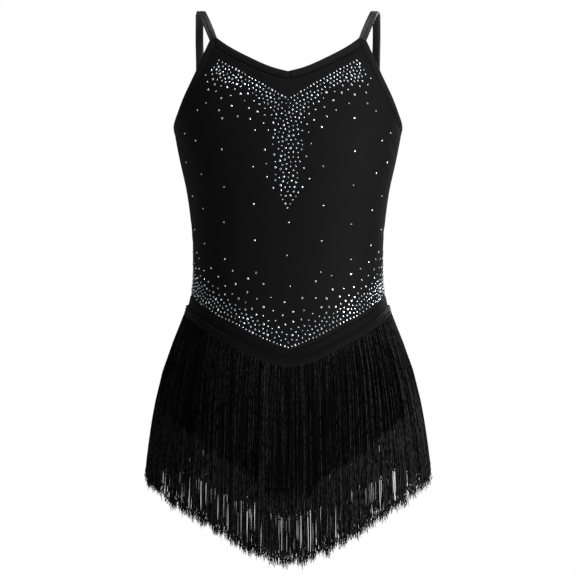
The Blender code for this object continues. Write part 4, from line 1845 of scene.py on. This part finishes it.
    def layout(self, rng: np.random.Generator) -> tuple[Array, Array]:
        """Turn and drop of every stone, and its diameter.

        Args:
            rng: source of random numbers.

        Returns:
            The places and the diameters.
        """
        rows = np.concatenate([self.row_along(self.upper_edge, 1.2), self.row_along(self.waist_edge, -1.6)])
        rows = self.find_seen(rows + rng.normal(0, 0.22, rows.shape))
        rows = rows[np.abs(rows[:, 0]) < self.last_turn]
        band = self.settled(self.thrown(rows, rng), len(rows))
        dense = self.wanted_spacing(band) < self.low_spacing + 0.1
        large = rng.random(len(band)) < np.where(dense, self.large_close, self.large_loose)
        large[:len(rows)] = rng.random(len(rows)) < self.large_in_rows
        half = np.array(self.diamonds, float)
        both = np.concatenate([half, half[half[:, 0] > 0] * (-1, 1)])
        lone = self.find_seen(both + rng.normal(0, 0.8, both.shape))
        gap = np.linalg.norm(self.figure.at(lone)[:, None] - self.figure.at(band)[None], axis=-1)
        lone = lone[gap.min(axis=1) > 4.5]
        sizes = np.concatenate([np.where(large, self.large, self.small), np.full(len(lone), self.lone)])
        sizes *= rng.uniform(0.93, 1.06, len(sizes))
        return np.concatenate([band, lone]), sizes

    def build(self, name: str, panels: JerseyPanels, material: bpy.types.Material) -> bpy.types.Object:
        """Set the stones on the front bodice.

        Args:
            name: the piece's name.
            panels: the jersey below them.
            material: its material.

        Returns:
            The piece.
        """
        rng = np.random.default_rng(self.seed)
        places, sizes = self.layout(rng)
        normal = self.figure.facing(places)
        base = self.figure.at(places)
        press = panels.pressed(places[:, 0], places[:, 1], panels.front_creases)
        base = base + normal * (0.05 - press)[:, None]
        spin = rng.uniform(0, math.tau, len(places))
        flat = unit(np.cross(normal, np.array([0.3, 0.1, 1.0])))
        along = flat * np.cos(spin)[:, None] + np.cross(normal, flat) * np.sin(spin)[:, None]
        tilt = unit(normal + rng.normal(0, 0.05, normal.shape))
        # Painted light: stones towards the sides and the upper ones get a brighter colour, as if facing side
        # windows; the rest of the tone differs at random
        painted_sparkle_height = np.clip((110 - places[:, 1]) / 60, 0, 1)
        tone = 0.6 * rng.random(len(places)) + (0.5 + 0.9 * painted_sparkle_height) * np.clip(np.abs(places[:, 0]) / 50, 0, 1)
        LOG.info("%d stones", len(places))
        return scatter(name, stone_shape(), material, base, along, tilt,
                       np.repeat(sizes[:, None] * MM, 3, axis=1), np.clip(tone, 0, 1), False)


@dataclass
class Stitching:
    """Rows of small stitches along bindings, straps, tape and hems."""

    figure: Figure
    edges: Edges
    bindings: Bindings
    skirt: FringeSkirt
    length: float = 2.3
    pitch: float = 2.9
    zigzag_pitch: float = 1.5
    thick: float = 0.55
    binding_inset: float = 6.0
    hem_inset: float = 4.0

    def row(self, line: Array, face: Array, seam: Seam = Seam.STRAIGHT,
            width: float = 3.0) -> tuple[Array, ...]:
        """Lay stitches along a line.

        Args:
            line: points in millimetres.
            face: outward directions at the points.
            seam: how the stitches run.
            width: width of a zigzag.

        Returns:
            Places, directions, faces and sizes.
        """
        run = lengths_along(line)
        pitch = self.pitch if seam is Seam.STRAIGHT else self.zigzag_pitch
        count = max(int(run[-1] / pitch), 2)
        wanted = (np.arange(count) + 0.5) / count * run[-1]
        places, ahead = at_lengths(line, run, wanted), at_lengths(line, run, wanted + 0.6)
        out = unit(at_lengths(face, run, wanted))
        along = unit(ahead - places + 1e-9)
        along[-1] = along[-2]
        length = self.length
        if seam is Seam.ZIGZAG:
            aside = unit(np.cross(out, along))
            sign = np.where(np.arange(count) % 2 == 0, 1.0, -1.0)[:, None]
            along = unit(along * pitch + aside * sign * width)
            length = math.hypot(width, pitch)
        size = np.tile([length, self.thick, self.thick * 0.7], (count, 1)) * MM
        return places, along, out, size

    def on_jersey(self, turn: Array, drop: Array, lift: float) -> tuple[Array, Array]:
        """A line on the jersey, lifted off it, and its outward directions."""
        face = self.figure.outward(self.figure.jersey, turn, drop)
        return self.figure.jersey(turn, drop) + face * lift, face

    def rows(self) -> list[tuple[Array, ...]]:
        """Every row of the garment.

        Returns:
            What row gives, for each.
        """
        found = []
        for table in (self.edges.front_neckline, self.edges.back_neckline, self.edges.armhole):
            edge = self.edges.finished(table, 120)
            line = self.edges.set_in(edge, self.binding_inset)
            points, face = self.on_jersey(line[:, 0], line[:, 1], 0.15)
            for mirror in (1, -1):
                found.append(self.row(points * (mirror, 1, 1), face * (mirror, 1, 1)))
        middle, side, out, half = self.bindings.strap_line()
        strap = middle + side * (half * 0.42)[:, None] - out * 0.25
        for mirror in (1, -1):
            found.append(self.row(strap * (mirror, 1, 1), out * (mirror, 1, 1)))
        turn = np.linspace(-180, 180, 900)
        top = self.figure.lines(turn)[:, 1]
        for share in (0.12, 0.4):
            found.append(self.row(*self.on_jersey(turn, top + self.skirt.tape_height * share, 2.3)))
        found += self.leg_hems()
        return found

    def leg_hems(self) -> list[tuple[Array, ...]]:
        """Zigzag rows round the leg openings and up beside the crotch.

        Returns:
            What row gives, for each.
        """
        found = []
        angle = np.linspace(0.02, math.pi / 2 - 0.02, 120)
        drop = self.figure.leg_top + (self.figure.crotch - self.figure.leg_top) * np.sin(angle) ** (
            2 / self.figure.seat_roundness)
        for side in Side:
            reach = self.figure.leg_reach(side, drop, self.hem_inset)
            for mirror in (1, -1):
                line = self.on_jersey(side.value + mirror * reach, drop, 0.2)
                found.append(self.row(*line, seam=Seam.ZIGZAG))
        down = np.linspace(472, 499.5, 40)
        sizes = read(self.figure.jersey_rings, down)
        turn = -np.degrees(np.arcsin((10.0 / sizes[:, 0]) ** (self.figure.ring_power / 2)))
        found.append(self.row(*self.on_jersey(turn, down, 0.2), seam=Seam.ZIGZAG, width=6.0))
        return found

    def build(self, name: str, material: bpy.types.Material) -> bpy.types.Object:
        """Sew every row as one piece.

        Args:
            name: the piece's name.
            material: its material.

        Returns:
            The piece.
        """
        rows = self.rows()
        places, along, face, size = (np.concatenate([row[i] for row in rows]) for i in range(4))
        LOG.info("%d stitches", len(places))
        tone = np.full(len(places), 0.5)
        return scatter(name, stitch_shape(), material, places, along, face, size, tone, True)


@dataclass
class Studio:
    """Camera, soft lights and floor."""

    distance: float = 2.6
    eye_height: float = -0.29085
    frame_width: float = 0.6048
    sensor_mm: float = 36.0
    floor_height: float = -1.12
    floor_radius: float = 3.3
    surroundings: float = 0.15
    # Name, place, width in metres and power in watts
    soft_boxes: tuple = (("key", (2.0, -1.6, 0.1), 1.2, 92.0), ("fill", (-2.2, -1.2, 0.2), 1.2, 4.0),
                         ("rim", (1.2, 2.0, 0.9), 1.2, 40.0), ("left rim", (-2.2, 1.6, 0.1), 1.0, 3.0),
                         ("overhead", (0.1, -0.3, 1.8), 1.4, 28.0))

    def camera(self) -> None:
        """The photograph's view: level, straight at the front."""
        data = bpy.data.cameras.new("camera")
        data.sensor_width = self.sensor_mm
        data.lens = self.sensor_mm * self.distance / self.frame_width
        camera = bpy.data.objects.new("camera", data)
        camera.location = (0, -self.distance, self.eye_height)
        camera.rotation_euler = (math.pi / 2, 0, 0)
        bpy.context.scene.collection.objects.link(camera)
        bpy.context.scene.camera = camera

    def lights(self) -> None:
        """White wall, dimmer surroundings and large soft boxes, the one on the right stronger."""
        scene = bpy.context.scene
        scene.view_settings.view_transform = "Standard"
        world = bpy.data.worlds.new("white studio")
        world.use_nodes = True
        tree = world.node_tree
        around = tree.nodes["Background"]
        around.inputs["Color"].default_value = (1, 1, 1, 1)
        around.inputs["Strength"].default_value = self.surroundings
        wall = add_node(tree, "ShaderNodeBackground", {"Color": (1, 1, 1, 1), "Strength": 1.0})
        seen = add_node(tree, "ShaderNodeLightPath")
        both = add_node(tree, "ShaderNodeMixShader", {}, {0: seen.outputs["Is Camera Ray"],
                                                          1: around.outputs[0], 2: wall.outputs[0]})
        tree.links.new(both.outputs[0], tree.nodes["World Output"].inputs["Surface"])
        scene.world = world
        for name, place, size, power in self.soft_boxes:
            data = bpy.data.lights.new(name, "AREA")
            data.size = size
            data.energy = power
            light = bpy.data.objects.new(name, data)
            light.location = place
            aim = np.array([0, 0, self.eye_height]) - np.array(place)
            yaw = math.atan2(aim[1], aim[0]) - math.pi / 2
            pitch = math.atan2(aim[2], math.hypot(aim[0], aim[1])) + math.pi / 2
            light.rotation_euler = (pitch, 0, yaw)
            scene.collection.objects.link(light)

    def floor(self) -> None:
        """A pale round floor well below the garment."""
        shape = bmesh.new()
        bmesh.ops.create_circle(shape, cap_ends=True, segments=96, radius=self.floor_radius)
        for vertex in shape.verts:
            vertex.co.z = self.floor_height
        mesh = bpy.data.meshes.new("floor")
        shape.to_mesh(mesh)
        shape.free()
        mesh.materials.append(FloorFinish().material())
        linked("floor", mesh)


def dress(piece: bpy.types.Object, slot: str, *nodes: str) -> bpy.types.Object:
    """Make a piece ride on the garment and hide the nodes that it stands for.

    Args:
        piece: the piece.
        slot: not used.
        nodes: nodes that it stands for.

    Returns:
        The same piece.
    """
    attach(piece, BODY)
    if nodes:
        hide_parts(*nodes)
    LOG.info("%s: %d faces", piece.name, len(piece.data.polygons))
    return piece


def main() -> None:
    """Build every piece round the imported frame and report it."""
    logging.basicConfig(level=logging.INFO, format="%(message)s")
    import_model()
    studio = Studio()
    studio.camera()
    studio.lights()
    studio.floor()

    figure = Figure()
    edges = Edges(figure)
    panels = JerseyPanels(figure, edges)
    bindings = Bindings(figure, edges)
    skirt = FringeSkirt(figure)
    jersey = JerseyFinish().material()
    # A darker copy of the same jersey for the brief: painted shade
    shaded_brief_jersey = JerseyFinish("black nylon elastane jersey, painted darker for the brief", "040404", "070707").material()
    binding = BindingFinish().material()
    # The strap's satin shine is in its roughness and specular; its shades, paler than the jersey's, add
    # painted sheen
    elastic = BindingFinish("black satin covered strap", "0c0c0c", "141414", 0.45, 0.26).material()
    chainette = ChainetteFinish().material()
    tape = TapeFinish().material()
    stones = Rhinestones(figure, edges).build("rhinestones", panels, StoneFinish().material())
    dress(stones, "rhinestone")
    stitching = Stitching(figure, edges, bindings, skirt)
    dress(stitching.build("stitching", ThreadFinish().material()), "thread")

    for name, side, make, cloth, flat in (
            ("front_bodice", Side.FRONT, panels.bodice, jersey, (0.29, 0.30)),
            ("back_bodice", Side.BACK, panels.bodice, jersey, (0.29, 0.21)),
            ("front_brief", Side.FRONT, panels.brief, shaded_brief_jersey, (0.29, 0.21)),
            ("back_brief", Side.BACK, panels.brief, shaded_brief_jersey, (0.31, 0.24))):
        piece, area = make(name + "_jersey", side, cloth)
        dress(piece, "jersey", name)
        LOG.info("%s area %.4f", name, area)

    for side, place in ((Side.FRONT, "front"), (Side.BACK, "back")):
        dress(bindings.neck(f"neck_binding_{place}_jersey", side, binding), "binding",
              f"neck_binding_{place}")
    for mirror, hand in ((1, "right"), (-1, "left")):
        dress(bindings.armhole(f"armhole_binding_{hand}_jersey", mirror, binding), "binding",
              f"armhole_binding_{hand}")
        dress(bindings.strap(f"strap_{hand}_jersey", mirror, elastic), "binding", f"strap_{hand}")

    for side, place in ((Side.FRONT, "front"), (Side.BACK, "back")):
        dress(skirt.tape(f"fringe_tape_{place}", side, tape), "fringe")
        dress(skirt.cords(f"fringe_cords_{place}", side, chainette), "fringe", f"fringe_{place}")


if __name__ == "__main__":
    main()
